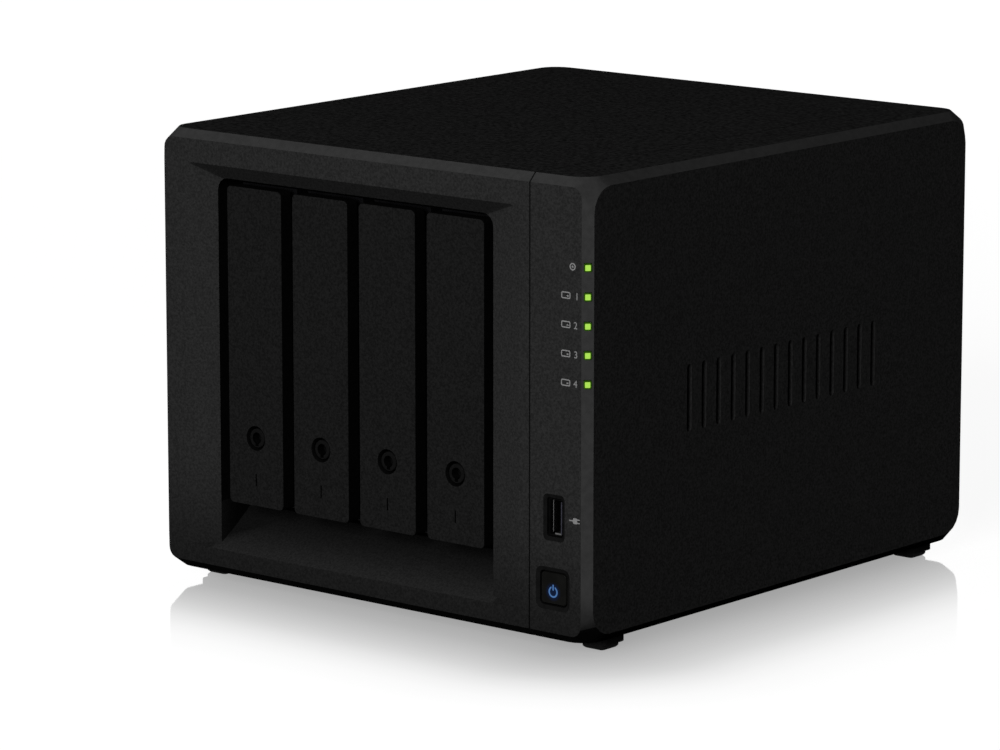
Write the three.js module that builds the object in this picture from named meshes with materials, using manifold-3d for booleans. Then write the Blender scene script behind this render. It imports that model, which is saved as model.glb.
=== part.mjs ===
// Four-bay network storage enclosure, in millimetres, +Z up.
// The front faces -Y and the origin is on the floor under the middle of the case.
import * as THREE from 'three';
import { mergeVertices } from 'three/addons/utils/BufferGeometryUtils.js';
import { ConvexGeometry } from 'three/addons/geometries/ConvexGeometry.js';
import Module from 'manifold-3d';

const wasm = await Module();
wasm.setup();

// Case: overall size and its bevelled, rounded edges
const caseWidth = 199;
const caseDepth = 223;
const caseHeight = 166;
const footHeight = 5;
const edgeBevel = 3;
const frontFaceRadius = 4;
const sideFaceRadius = 9;
const topFaceRadius = 8;
const caseWall = 2.6;
const cavityRadius = 6;
const rearLipDepth = 2.2;
const rearLipWidth = 5.5;

// Clearances shared by all pieces
const fitGap = 0.3;
const cutOverrun = 2;
const snapStep = 1 / 4096;
const caseSteps = 5;
const roundSteps = 4;
const innerSteps = 2;

// Seam between the two covers, and the tongue that closes it from inside
const controlStrip = 25.6;
const seamGap = 0.6;
const tongueThickness = 1.2;
const tongueReach = 3;
const tongueRoot = 4;

// Drive bays and the sloped recess round them
const bayCount = 4;
const bayEndMargin = 1.6;
const recessDepth = 3;
const recessSideMargin = 12.45;
const recessSeamMargin = 4.75;
const recessTopMargin = 11.5;
const recessRadius = 4;
const bezelBacking = 2.6;
const windowInset = 13.9;
const windowTopInset = 4.8;
const windowRadius = 4.5;
const tunnelWall = 1.6;
const tunnelDepth = 18.8;

// Finger scoop under the tray fronts: a ramp that steepens as it goes in
const scoopLipLift = 9.4;
const scoopDepth = 19;
const scoopRise = 13.6;
const scoopSag = 0.56;
const scoopWall = 2.2;
const lipMargin = 0.15;
const scoopSteps = 8;

// Trays
const trayGap = 5.3;
const trayLift = 3.9;
const trayTopGap = 2.4;
const trayFaceSet = 3;
const trayFaceRadius = 1.8;
const handleSkin = 2.2;
const handleDepth = 5.6;
const handleRim = 1.5;
const handleEase = 0.8;
const trayWallGap = 1.4;
const trayWallThickness = 3;
const trayThinWall = 1.4;
const trayShoulder = 9;
const railHeight = 6.1;
const railSetBack = 5;
const trayPlate = 1.4;
const trayTravelClear = 0.5;
const plateWindowCount = 3;
const plateWindowMargin = 9;
const plateWindowRadius = 5;
const frontWindowHeight = 24;
const frontWindowMargin = 4.5;
const frontWindowSet = 6;
const frontWindowDrop = 9.4;

// Tray front hinge: a cross pin on the front, carried by two lugs on the tray
const hingeSet = 4.9;
const hingeDrop = 4.1;
const hingePinRadius = 1;
const hingeBoreRadius = 1.35;
const lugRadius = 2.2;
const lugWidth = 2.4;
const lugInset = 5.5;
const pinSides = 8;

// Key lock in each tray front
const lockHeight = 24.9;
const lockMouthRadius = 4.5;
const lockBoreRadius = 3.9;
const lockMouthDepth = 1.1;
const lockRadius = 3.55;
const lockSet = 1;
const lockLength = 5;
const lockBossWall = 1.6;
const keyRadius = 2.1;
const keyDepth = 3;
const keySlotWidth = 1.5;
const keySlotReach = 2.9;
const lockSides = 16;
const markWidth = 0.5;
const markLength = 4.4;
const markDepth = 0.3;
const markDrop = 15.2;

// Side clips that hold a drive in its tray
const clipMargin = 6;
const clipThickness = 2.8;
const clipSetBack = 18;
const clipRearMargin = 6.5;
const clipCornerShare = 1 / 4;
const clipPinRadius = 1.4;
const clipPinHole = 1.8;
const clipPinReach = 0.5;
const clipPinInset = 16;
const clipGripWidth = 5;
const clipGripDepth = 1;

// Drive and its place in the tray
const driveSideGap = 0.8;
const driveGap = 0.5;
const driveRearGap = 1.4;

// Drive cage and its moulded guides
const sheet = 1;
const plenumDepth = 22.8;
const cageFlange = 8;
const guideBase = 1.2;
const guideRib = 4;
const guideNose = 9;
const guideEase = 1.2;
const guideSetBack = 1;
const cageWindowMargin = 14;
const cageWindowRadius = 6;
const cageWindowCount = 2;
const cageWindowGap = 23.1;
const cageFootWindow = 12;
const cageFootRadius = 4;

// Backplane and its drive connectors
const boardThickness = 1.6;
const backplaneMargin = 1.2;
const backplaneVentGap = 19.3;
const backplaneVentHeight = 56;
const backplaneVentDrop = 4.8;
const backplaneVentCornerShare = 1 / 4;
const sataHeight = 42;
const sataWidth = 5.2;
const sataReach = 7.4;
const sataSlotWidth = 2;
const sataSlotDepth = 5;
const sataSlotMargin = 2;
const sataSide = 2.5;
const sataLift = 3.8;
const fingerHeight = 40;
const fingerReach = 5;
const fingerDrop = 8;
const fingerRoot = 2.4;
const linkWall = 3;
const linkLength = 4;

// Main board, upright between the cage and the right cover
const mainBoardSetBack = 32.4;
const mainBoardFanGap = 6.5;
const mainBoardLift = 2;
const mainBoardTopGap = 20.4;
const portShelfMargin = 1.2;
const portShelfGap = 2.3;
const chipSide = 24;
const chipHeight = 1.6;
const inductorSide = 7;
const inductorHeight = 4;
const inductorCount = 4;
const inductorPitch = 10;
const inductorLift = 23;
const capacitorRadius = 3;
const capacitorHeight = 8;
const capacitorCount = 5;
const capacitorPitch = 9;
const sinkSide = 42;
const sinkBase = 2.5;
const sinkFinHeight = 9;
const sinkFinThickness = 1.3;
const sinkFinCount = 9;
const sinkSetBack = 65;
const sinkDrop = 35;
const batteryRadius = 10;
const batteryThickness = 3.2;
const batterySetBack = 26;
const batteryLift = 26.4;
const memoryLength = 67.6;
const memoryWidth = 30;
const memoryCard = 1.2;
const memoryChip = 1.1;
const memoryChipLength = 12;
const memoryChipCount = 4;
const memoryChipPitch = 15.6;
const memoryChipDrop = 10;
const memorySetBack = 32;
const memoryCageGap = 1.25;
const memoryLinkGap = 1.5;
const memorySocketHeight = 5.2;
const memorySocketDepth = 7;
const memorySocketEnd = 1.8;

// Ports on the rear edge of the main board
const lanWidth = 16;
const lanHeight = 13.5;
const lanLength = 21;
const lanMouthWidth = 11.9;
const lanMouthHeight = 8.4;
const lanMouthDepth = 13;
const lanKeyWidth = 6;
const lanKeyHeight = 1.8;
const lanPitch = 17.2;
const lanLift = 4.2;
const usbWidth = 12.8;
const usbHeight = 5.7;
const usbLength = 14.2;
const usbShell = 0.4;
const usbTongue = 1.84;
const usbTongueWidth = 11;
const usbTongueSet = 3.4;
const usbTongueGap = 0.92;
const usbFloor = 2;
const rearUsbLift = 9.4;
const resetWidth = 3;
const resetBody = 4.4;
const resetLength = 3.6;
const resetHoleRadius = 1.1;
const resetPinRadius = 0.8;
const resetPinLength = 4.2;
const resetLift = 2.6;
const resetTravel = 0.5;
const portGap = 0.4;

// Power inlet, carried by the rear panel
const inletSetLeft = 27;
const inletLift = 18.4;
const inletRadius = 6.2;
const inletMouthRadius = 4.9;
const inletFlangeRadius = 8;
const inletFlange = 1.4;
const inletLength = 14;
const inletDepth = 9.5;
const inletPinRadius = 0.6;
const inletPinLength = 4.6;
const inletPinCircle = 2.3;
const inletPinCount = 4;
const inletProud = 0.5;
const inletSides = 16;
const inletPinSides = 6;

// Rear panel and its fan grilles
const panelThickness = 1.2;
const grilleHub = 15;
const grilleRingCount = 4;
const grilleEdge = 2;
const grilleSlotShare = 2 / 3;
const grilleSpokeCount = 4;
const grilleSpoke = 3;
const grilleArcSteps = 3;
const securitySlotWidth = 7;
const securitySlotHeight = 3;
const securitySlotRadius = 1;
const securitySlotInset = 13.5;
const securitySlotLift = 30.4;

// Fans
const fanDepth = 25;
const fanPairGap = 0.8;
const fanSideGap = 4.5;
const fanTopGap = 0.9;
const fanPortGap = 3.3;
const fanRadius = 4;
const fanRim = 2.6;
const fanScrewInset = 4.75;
const fanScrewRadius = 2.15;
const fanSides = 24;
const hubSides = 24;
const motorRadius = 17;
const motorThickness = 3;
const strutWidth = 4;
const strutThickness = 3;
const strutCount = 4;
const rotorHubMargin = 1;
const rotorSet = 2.2;
const rotorLength = 17;
const rotorTipGap = 1.4;
const rotorHubEase = 1.5;
const bladeCount = 9;
const bladeChord = 17;
const bladeThickness = 1.6;
const bladeCamber = 3.2;
const bladeRootPitch = 0.85;
const bladeTipPitch = 0.42;
const bladeStations = 2;
const bladeRootSink = 1;
const shaftRadius = 1.5;
const shaftBore = 1.85;
const shaftLength = 3;

// Status lights on the bevel of the front right edge
const lightCount = 5;
const lightPitch = 10;
const lightDrop = 29.8;
const lightWidth = 2.1;
const lightHeight = 2.4;
const lightHoleGap = 0.3;
const lightRodLength = 11;
const lightSpine = 3;

// Front panel board and power switch
const frontBoardSet = 15.5;
const frontBoardSeamGap = 4.5;
const frontBoardInset = 4.9;
const frontBoardLift = 4.4;
const frontBoardTopGap = 21.4;
const switchSide = 6;
const switchHeight = 3.4;
const switchStemRadius = 1.5;
const switchStemLength = 0.8;
const ledSize = 2;
const ledHeight = 0.8;

// Front socket opening
const socketSetLeft = 0.5;
const socketLift = 43.4;
const socketDishWidth = 9.4;
const socketDishHeight = 16.3;
const socketDishRadius = 1.8;
const socketHoleWidth = 7;
const socketHoleHeight = 13.5;
const socketHoleRadius = 0.9;
const socketSet = 1;

// Power button
const buttonSetLeft = 1;
const buttonLift = 18.5;
const buttonDishMargin = 5.35;
const buttonDishSlope = 1.4;
const buttonDishRadius = 2.6;
const buttonHoleRadius = 1.7;
const buttonFaceGap = 0.55;
const buttonFaceRadius = 1.3;
const buttonSet = 0.5;
const buttonFlangeReach = 0.65;
const buttonFlangeThickness = 1.2;
const buttonStemRadius = 2;
const buttonTravel = 0.8;
const dishDepth = 0.57;

// Side vents
const ventCount = 14;
const ventPitch = 8.3;
const ventWidth = 2.6;
const ventHeight = 24;
const ventSetForward = 2;
const ventDrop = 2;

// Ribs inside the covers
const ribThickness = 1.6;
const ribSetBack = 22.4;
const ribFanGap = 16.5;
const ribLowHeight = 36.4;
const ribHighHeight = 45.4;
const sideRibHeight = 3;

// Feet
const footSide = 9.4;
const footSideInset = 10.9;
const footFrontInset = 20.7;
const footRearInset = 19.5;
const footRadius = 1;
const footEase = 0.6;
const collarWall = 1.5;
const collarHeight = 2.8;

// Places worked out from the sizes above: the case
const frontY = -caseDepth / 2;
const rearY = caseDepth / 2;
const sideX = caseWidth / 2;
const seamX = sideX - controlStrip;
const floorZ = footHeight + caseWall;
const ceilingZ = caseHeight - caseWall;
const innerX = sideX - caseWall;
const lipInnerY = rearY - rearLipDepth;
const controlBackY = frontY + caseWall;
const footX = sideX - footSideInset;
const footFrontY = frontY + footFrontInset;
const footRearY = rearY - footRearInset;
const ventCentreY = -ventSetForward;
const ventCentreZ = (footHeight + caseHeight) / 2 - ventDrop;

// The recess, the window in it and the trays that fill the window
const recessLeft = recessSideMargin - sideX;
const recessRight = seamX - recessSeamMargin;
const recessTop = caseHeight - recessTopMargin;
const recessHalfWidth = (recessRight - recessLeft) / 2;
const bayCentreX = (recessLeft + recessRight) / 2;
const bayFaceY = frontY + recessDepth;
const bezelBackY = bayFaceY + bezelBacking;
const windowHalfWidth = recessHalfWidth - windowInset;
const windowLeft = bayCentreX - windowHalfWidth;
const windowRight = bayCentreX + windowHalfWidth;
const windowTop = recessTop - windowTopInset;
const tunnelRearY = frontY + tunnelDepth;
const scoopLip = footHeight + scoopLipLift;
const bayPitch = 2 * (windowHalfWidth - bayEndMargin) / bayCount;
const trayWidth = bayPitch - trayGap;
const trayHalf = trayWidth / 2;
const trayBottom = scoopLip + scoopRise + trayLift;
const trayTop = windowTop - trayTopGap;
const trayMidZ = (trayBottom + trayTop) / 2;
const trayFaceY = frontY + trayFaceSet;
const handleBackY = trayFaceY + handleDepth;
const trayWallY = handleBackY + trayWallGap;
const trayWallBackY = trayWallY + trayWallThickness;
const hingeY = trayFaceY + hingeSet;
const hingeZ = trayTop - hingeDrop;
const lugX = trayHalf - lugInset;
const lockZ = trayBottom + lockHeight;
const railLowTop = trayBottom + railHeight;
const railHighBottom = trayTop - railHeight;

// The rear panel, the fans and the ports below them
const panelRearY = lipInnerY - fitGap;
const panelFrontY = panelRearY - panelThickness;
const portRearY = lipInnerY;
const resetBottom = floorZ + resetLift;
const rearUsbBottom = floorZ + rearUsbLift;
const lanBottom = rearUsbBottom + usbWidth + lanLift;
const lanTop = lanBottom + lanPitch + lanWidth;
const fanRoomWide = innerX - fanSideGap - fanPairGap / 2;
const fanRoomTall = ceilingZ - fanTopGap - lanTop - fanPortGap;
const fanSize = Math.min(fanRoomWide, fanRoomTall);
const fanX = (fanSize + fanPairGap) / 2;
const fanZ = ceilingZ - fanTopGap - fanSize / 2;
const fanBore = fanSize / 2 - fanRim;
const fanRearY = panelFrontY - fitGap;
const fanFrontY = fanRearY - fanDepth;
const rotorHubRadius = motorRadius + rotorHubMargin;

// The cage, the backplane behind it and what a drive leaves for the tray
const cageFrontY = tunnelRearY + fitGap;
const backplaneRearY = fanFrontY - plenumDepth;
const backplaneY = backplaneRearY - boardThickness;
const cageRearY = backplaneY - fitGap;
const cageLength = cageRearY - cageFrontY;
const cageLeftX = windowLeft - sheet;
const cageRightX = windowRight + sheet;
const guideTopLow = trayBottom - fitGap;
const cageFloorTop = guideTopLow - guideBase - fitGap;
const guideBottomHigh = trayTop + fitGap;
const cageRoofBottom = guideBottomHigh + guideBase + fitGap;
const cageRoofTop = cageRoofBottom + sheet;
const cageFootZ = floorZ + fitGap;
const sataRearY = backplaneY - fitGap;
const sataFaceY = sataRearY - sataReach;
const railRearY = sataFaceY - driveRearGap - railSetBack;
const driveWidth = trayTop - trayBottom - 2 * (railHeight + driveSideGap);
const driveX = -trayHalf + trayPlate + driveGap;
const clipWidth = trayWidth - 2 * clipMargin;
const clipFrontY = trayWallBackY + clipSetBack;
const clipRearY = railRearY - clipRearMargin;
const fingerTop = trayMidZ - fingerDrop;
const fingerBottom = fingerTop - fingerHeight;

// The main board and what stands on it
const memorySocketX = cageRightX + memoryCageGap;
const boardX = memorySocketX + memorySocketHeight + fitGap;
const boardFaceX = boardX + boardThickness;
const componentX = boardFaceX + fitGap;
const mainBoardFront = cageFrontY + mainBoardSetBack;
const mainBoardRear = fanFrontY - mainBoardFanGap;
const mainBoardBottom = floorZ + mainBoardLift;
const mainBoardTop = ceilingZ - mainBoardTopGap;
const portShelfTop = lanTop + portShelfMargin;
const portShelfRear = panelFrontY - portShelfGap;
const sinkCentreY = mainBoardFront + sinkSetBack;
const sinkCentreZ = mainBoardTop - sinkDrop;
const batteryY = mainBoardFront + batterySetBack;
const batteryZ = floorZ + batteryLift;
const memoryX = memorySocketX + (memorySocketHeight - memoryCard) / 2;
const memoryFront = mainBoardFront + memorySetBack;
const memoryBottom = fingerTop + linkLength + memoryLinkGap + memorySocketDepth / 2;
const inletX = boardX - inletSetLeft;
const inletZ = floorZ + inletLift;
const securitySlotX = securitySlotInset - sideX;
const securitySlotZ = floorZ + securitySlotLift;

// The control strip: lights, socket and button in front of their board
const stripMiddle = seamX + (controlStrip - edgeBevel) / 2;
const socketX = stripMiddle - socketSetLeft;
const socketZ = footHeight + socketLift;
const buttonX = stripMiddle - buttonSetLeft;
const buttonZ = footHeight + buttonLift;
const buttonDish = controlStrip - 2 * buttonDishMargin;
const buttonHole = buttonDish - 2 * buttonDishSlope;
const buttonFace = buttonHole - 2 * buttonFaceGap;
const buttonFlange = buttonHole + 2 * buttonFlangeReach;
const frontBoardY = frontY + frontBoardSet;
const frontBoardLeft = seamX + frontBoardSeamGap;
const frontBoardRight = sideX - frontBoardInset;
const lightTopZ = caseHeight - lightDrop;
const ribFrontY = cageFrontY + ribSetBack;
const ribRearY = fanFrontY - ribFanGap;
const ribLow = floorZ + ribLowHeight;
const ribHigh = ceilingZ - ribHighHeight;

// A closed three.js geometry as a solid that can be joined and cut. Its points are snapped to a fine
// grid, so that faces meant to be flush meet exactly.
function solidOf(geometry) {
  const bare = geometry.clone();
  bare.deleteAttribute('normal');
  bare.deleteAttribute('uv');
  const snapped = bare.attributes.position.array.map((value) => Math.round(value / snapStep) * snapStep);
  bare.setAttribute('position', new THREE.BufferAttribute(new Float32Array(snapped), 3));
  const merged = mergeVertices(bare);
  const vertProperties = new Float32Array(merged.attributes.position.array);
  const triVerts = new Uint32Array(merged.index.array);
  return new wasm.Manifold(new wasm.Mesh({ numProp: 3, vertProperties, triVerts }));
}

function geometryOf(solid) {
  const mesh = solid.getMesh();
  const geometry = new THREE.BufferGeometry();
  geometry.setAttribute('position', new THREE.BufferAttribute(mesh.vertProperties, 3));
  geometry.setIndex(new THREE.BufferAttribute(mesh.triVerts, 1));
  geometry.computeVertexNormals();
  return geometry;
}

function joined(solids) {
  return solids.reduce((whole, solid) => whole.add(solid));
}

function block(x0, x1, y0, y1, z0, z1) {
  const geometry = new THREE.BoxGeometry(x1 - x0, y1 - y0, z1 - z0);
  geometry.translate((x0 + x1) / 2, (y0 + y1) / 2, (z0 + z1) / 2);
  return solidOf(geometry);
}

// Corner points of a rounded rectangle, anticlockwise round its centre
function roundedLoop(centreU, centreV, width, height, radius, steps = roundSteps) {
  const points = [];
  const corners = [[1, 1], [-1, 1], [-1, -1], [1, -1]];
  corners.forEach(([signU, signV], quarter) => {
    const u = centreU + signU * (width / 2 - radius);
    const v = centreV + signV * (height / 2 - radius);
    for (let step = 0; step <= steps; step += 1) {
      const angle = (quarter + step / steps) * Math.PI / 2;
      points.push(new THREE.Vector2(u + radius * Math.cos(angle), v + radius * Math.sin(angle)));
    }
  });
  return points;
}

function roundLoop(centreU, centreV, radius, sides) {
  const points = [];
  for (let side = 0; side < sides; side += 1) {
    const angle = 2 * Math.PI * side / sides;
    points.push(new THREE.Vector2(centreU + radius * Math.cos(angle), centreV + radius * Math.sin(angle)));
  }
  return points;
}

// Prisms of an outline along each axis: (x, z) along Y, (y, z) along X, (x, y) along Z
function extruded(loop, length) {
  return new THREE.ExtrudeGeometry(new THREE.Shape(loop), { depth: length, bevelEnabled: false });
}

function prismY(loop, y0, y1) {
  return solidOf(extruded(loop, y1 - y0).rotateX(Math.PI / 2).translate(0, y1, 0));
}

function prismX(loop, x0, x1) {
  const turn = new THREE.Matrix4().makeBasis(
    new THREE.Vector3(0, 1, 0),
    new THREE.Vector3(0, 0, 1),
    new THREE.Vector3(1, 0, 0),
  );
  return solidOf(extruded(loop, x1 - x0).applyMatrix4(turn).translate(x0, 0, 0));
}

function prismZ(loop, z0, z1) {
  return solidOf(extruded(loop, z1 - z0).translate(0, 0, z0));
}

function hullOf(points) {
  return solidOf(new ConvexGeometry(points));
}

// A solid of revolution about the Y axis through (x, z); profile points are (radius, y)
function turnedY(profile, x, z, sides) {
  const points = profile.map(([radius, y]) => new THREE.Vector2(radius, y));
  return solidOf(new THREE.LatheGeometry(points, sides).translate(x, 0, z));
}

function drumY(x, z, radius, y0, y1, sides = lockSides) {
  return prismY(roundLoop(x, z, radius, sides), y0, y1);
}

function drumX(y, z, radius, x0, x1, sides = lockSides) {
  return prismX(roundLoop(y, z, radius, sides), x0, x1);
}

const finishes = {
  shell: { color: 0x1d1d1e, roughness: 0.62, metalness: 0 },
  tray: { color: 0x19191a, roughness: 0.6, metalness: 0 },
  lock: { color: 0x161617, roughness: 0.4, metalness: 0 },
  guide: { color: 0x111112, roughness: 0.65, metalness: 0 },
  clip: { color: 0x2b2b2d, roughness: 0.5, metalness: 0 },
  gloss: { color: 0x0d0d0f, roughness: 0.15, metalness: 0 },
  light: { color: 0x9be24a, roughness: 0.25, metalness: 0 },
  steel: { color: 0x8f9296, roughness: 0.45, metalness: 1 },
  painted: { color: 0x161617, roughness: 0.55, metalness: 0.2 },
  port: { color: 0xb4b6b8, roughness: 0.3, metalness: 1 },
  board: { color: 0x123a26, roughness: 0.5, metalness: 0 },
  socket: { color: 0x121213, roughness: 0.45, metalness: 0 },
  alloy: { color: 0xa9adb1, roughness: 0.4, metalness: 1 },
  cell: { color: 0xc0c2c4, roughness: 0.3, metalness: 1 },
  fan: { color: 0x141415, roughness: 0.5, metalness: 0 },
  rubber: { color: 0x0c0c0c, roughness: 0.85, metalness: 0 },
};
const materials = Object.fromEntries(
  Object.entries(finishes).map(([name, look]) => [name, new THREE.MeshStandardMaterial(look)]),
);

const enclosure = new THREE.Group();

function place(name, solid, finish, parent = enclosure) {
  const mesh = new THREE.Mesh(geometryOf(solid), materials[finish]);
  mesh.name = name;
  parent.add(mesh);
  return mesh;
}

// Case: the hull of six rounded faces has flat bevels and blended corners
function caseBody() {
  const midZ = (footHeight + caseHeight) / 2;
  const tall = caseHeight - footHeight;
  const bevels = 2 * edgeBevel;
  const points = [];
  roundedLoop(0, midZ, caseWidth - bevels, tall - bevels, frontFaceRadius, caseSteps).forEach(({ x, y }) => {
    points.push(new THREE.Vector3(x, frontY, y), new THREE.Vector3(x, rearY, y));
  });
  roundedLoop(0, midZ, caseDepth - bevels, tall - bevels, sideFaceRadius, caseSteps).forEach(({ x, y }) => {
    points.push(new THREE.Vector3(-sideX, x, y), new THREE.Vector3(sideX, x, y));
  });
  roundedLoop(0, 0, caseWidth - bevels, caseDepth - bevels, topFaceRadius, caseSteps).forEach(({ x, y }) => {
    points.push(new THREE.Vector3(x, y, footHeight), new THREE.Vector3(x, y, caseHeight));
  });
  return hullOf(points);
}

// A straight hollow that runs from y0 to y1, inset from the case by the given wall
function caseHollow(inset, y0, y1) {
  const tall = caseHeight - footHeight;
  const loop = roundedLoop(0, (footHeight + caseHeight) / 2, caseWidth - 2 * inset, tall - 2 * inset,
    cavityRadius - (inset - caseWall));
  return prismY(loop, y0, y1);
}

function rearOpening() {
  const tall = caseHeight - footHeight;
  const inset = rearLipWidth;
  const loop = roundedLoop(0, (footHeight + caseHeight) / 2, caseWidth - 2 * inset, tall - 2 * inset,
    cavityRadius - inset + caseWall);
  return prismY(loop, lipInnerY - cutOverrun, rearY + cutOverrun);
}

// Points along the scoop from its lip inwards, on a shallow circular arc
function scoopLine(drop) {
  const chord = Math.hypot(scoopDepth, scoopRise);
  const radius = (chord * chord / 4 + scoopSag * scoopSag) / (2 * scoopSag);
  const half = Math.asin(chord / 2 / radius);
  const slope = Math.atan2(scoopRise, scoopDepth);
  const centre = new THREE.Vector2(frontY, scoopLip).add(
    new THREE.Vector2(-Math.sin(slope - half), Math.cos(slope - half)).multiplyScalar(radius),
  );
  const points = [];
  for (let step = 0; step <= scoopSteps; step += 1) {
    const angle = slope - half + 2 * half * step / scoopSteps;
    const arm = radius + drop;
    points.push(new THREE.Vector2(centre.x + arm * Math.sin(angle), centre.y - arm * Math.cos(angle)));
  }
  return points;
}

// The sloped recess, the window through its floor and the scoop below them, as one cut
function baySpace() {
  const low = scoopLip - lipMargin;
  const outer = roundedLoop(bayCentreX, (low + recessTop) / 2, 2 * recessHalfWidth, recessTop - low,
    recessRadius);
  const inner = roundedLoop(bayCentreX, (low + windowTop) / 2, 2 * windowHalfWidth, windowTop - low,
    windowRadius);
  const below = low - windowRadius;
  const opening = [
    ...inner.filter((point) => point.y > (low + windowTop) / 2),
    new THREE.Vector2(windowLeft, below),
    new THREE.Vector2(windowRight, below),
  ];
  const outward = 1 + cutOverrun / recessDepth;
  const points = [windowLeft, windowRight].map((x) => new THREE.Vector3(x, bayFaceY, low));
  inner.forEach(({ x, y }, index) => {
    const to = outer[index];
    points.push(new THREE.Vector3(x, bayFaceY, y));
    points.push(new THREE.Vector3(x + (to.x - x) * outward, frontY - cutOverrun, y + (to.y - y) * outward));
  });
  const line = scoopLine(0);
  const entry = line[0].clone().addScaledVector(line[0].clone().sub(line[1]).normalize(), cutOverrun);
  const rearward = tunnelRearY + cutOverrun;
  const above = [
    entry,
    ...line,
    new THREE.Vector2(rearward, scoopLip + scoopRise),
    new THREE.Vector2(rearward, recessTop + cutOverrun),
    new THREE.Vector2(entry.x, recessTop + cutOverrun),
  ];
  return hullOf(points)
    .add(prismY(opening, bayFaceY, rearward))
    .intersect(prismX(above, -sideX, sideX));
}

function bayTunnel() {
  const low = scoopLip - scoopWall - windowRadius;
  const high = windowTop + tunnelWall;
  const outline = roundedLoop(bayCentreX, (low + high) / 2, 2 * (windowHalfWidth + tunnelWall), high - low,
    windowRadius + tunnelWall);
  const under = scoopLine(scoopWall);
  const first = under[0];
  const last = under[under.length - 1];
  const belowScoop = [
    new THREE.Vector2(bezelBackY, first.y - windowRadius - cutOverrun),
    new THREE.Vector2(tunnelRearY + cutOverrun, first.y - windowRadius - cutOverrun),
    new THREE.Vector2(tunnelRearY + cutOverrun, last.y),
    ...under.filter((point) => point.x > bezelBackY).reverse(),
  ];
  const tunnel = prismY(outline, bezelBackY - tunnelWall, tunnelRearY);
  const side = tunnelWall + cutOverrun;
  return tunnel.subtract(prismX(belowScoop, windowLeft - side, windowRight + side));
}

function ventSlots(x0, x1) {
  const slots = [];
  for (let index = 0; index < ventCount; index += 1) {
    const y = ventCentreY + (index - (ventCount - 1) / 2) * ventPitch;
    slots.push(prismX(roundedLoop(y, ventCentreZ, ventWidth, ventHeight, ventWidth / 2, innerSteps), x0, x1));
  }
  return joined(slots);
}

// A square collar under the case, and the pocket in it that holds a rubber foot
function footCollar(x, y) {
  const side = footSide + 2 * (fitGap + collarWall);
  return prismZ(roundedLoop(x, y, side, side, footRadius + fitGap + collarWall),
    footHeight - collarHeight, footHeight + caseWall / 2);
}

function footPocket(x, y) {
  const side = footSide + 2 * fitGap;
  return prismZ(roundedLoop(x, y, side, side, footRadius + fitGap),
    footHeight - collarHeight - cutOverrun, footHeight);
}

function bayCentre(index) {
  return bayCentreX + (index - (bayCount - 1) / 2) * bayPitch;
}

function leftCover() {
  const left = -sideX - cutOverrun;
  const edge = seamX - seamGap / 2;
  const side = block(left, edge, frontY - cutOverrun, rearY + cutOverrun, -cutOverrun,
    caseHeight + cutOverrun);
  const body = caseBody().intersect(side);
  const tongueRearY = fanFrontY - tongueReach;
  const inset = caseWall + fitGap;
  const tongueRing = caseHollow(inset, controlBackY + fitGap, tongueRearY)
    .subtract(caseHollow(inset + tongueThickness, controlBackY + fitGap + tongueThickness,
      tongueRearY + cutOverrun));
  const tongue = tongueRing.intersect(
    block(edge - tongueRoot, edge + tongueReach, frontY, rearY, 0, caseHeight));
  const root = caseHollow(caseWall, bezelBackY, tongueRearY)
    .subtract(caseHollow(inset + tongueThickness, bezelBackY - cutOverrun, tongueRearY + cutOverrun))
    .intersect(block(edge - tongueRoot, edge, frontY, rearY, 0, caseHeight));
  const ribs = [];
  for (const y of [ribFrontY, ribRearY]) {
    for (const [z0, z1] of [[footHeight + caseWall / 2, ribLow], [ribHigh, caseHeight - caseWall / 2]]) {
      ribs.push(block(-innerX - caseWall / 2, cageLeftX - fitGap, y, y + ribThickness, z0, z1));
    }
  }
  const feet = [footFrontY, footRearY];
  const parts = body.subtract(caseHollow(caseWall, bezelBackY, lipInnerY))
    .subtract(rearOpening())
    .add(bayTunnel())
    .add(root)
    .add(tongue)
    .add(joined(ribs))
    .add(joined(feet.map((y) => footCollar(-footX, y))));
  return parts
    .subtract(baySpace())
    .subtract(ventSlots(-sideX - cutOverrun, -innerX + cutOverrun))
    .subtract(joined(feet.map((y) => footPocket(-footX, y))));
}

// A shallow dish in the control strip with sloping sides and a hole in its floor
function dish(x, z, width, height, radius, holeWidth, holeHeight, holeRadius) {
  const grow = 1 + cutOverrun / dishDepth;
  const outer = roundedLoop(x, z, holeWidth + (width - holeWidth) * grow,
    holeHeight + (height - holeHeight) * grow, holeRadius + (radius - holeRadius) * grow);
  const inner = roundedLoop(x, z, holeWidth, holeHeight, holeRadius);
  const slope = hullOf([
    ...outer.map((point) => new THREE.Vector3(point.x, frontY - cutOverrun, point.y)),
    ...inner.map((point) => new THREE.Vector3(point.x, frontY + dishDepth, point.y)),
  ]);
  return slope.add(prismY(inner, frontY, controlBackY + cutOverrun));
}

// A square rod through the front right bevel, square to the bevel's face
function bevelRod(z, width, height, outer, inner) {
  const centreX = sideX - edgeBevel / 2;
  const centreY = frontY + edgeBevel / 2;
  const rod = new THREE.BoxGeometry(width, inner + outer, height);
  rod.translate(0, (inner - outer) / 2, 0);
  rod.rotateZ(Math.PI / 4);
  rod.translate(centreX, centreY, z);
  return solidOf(rod);
}

function lightHeightAt(index) {
  return lightTopZ - index * lightPitch;
}

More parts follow.
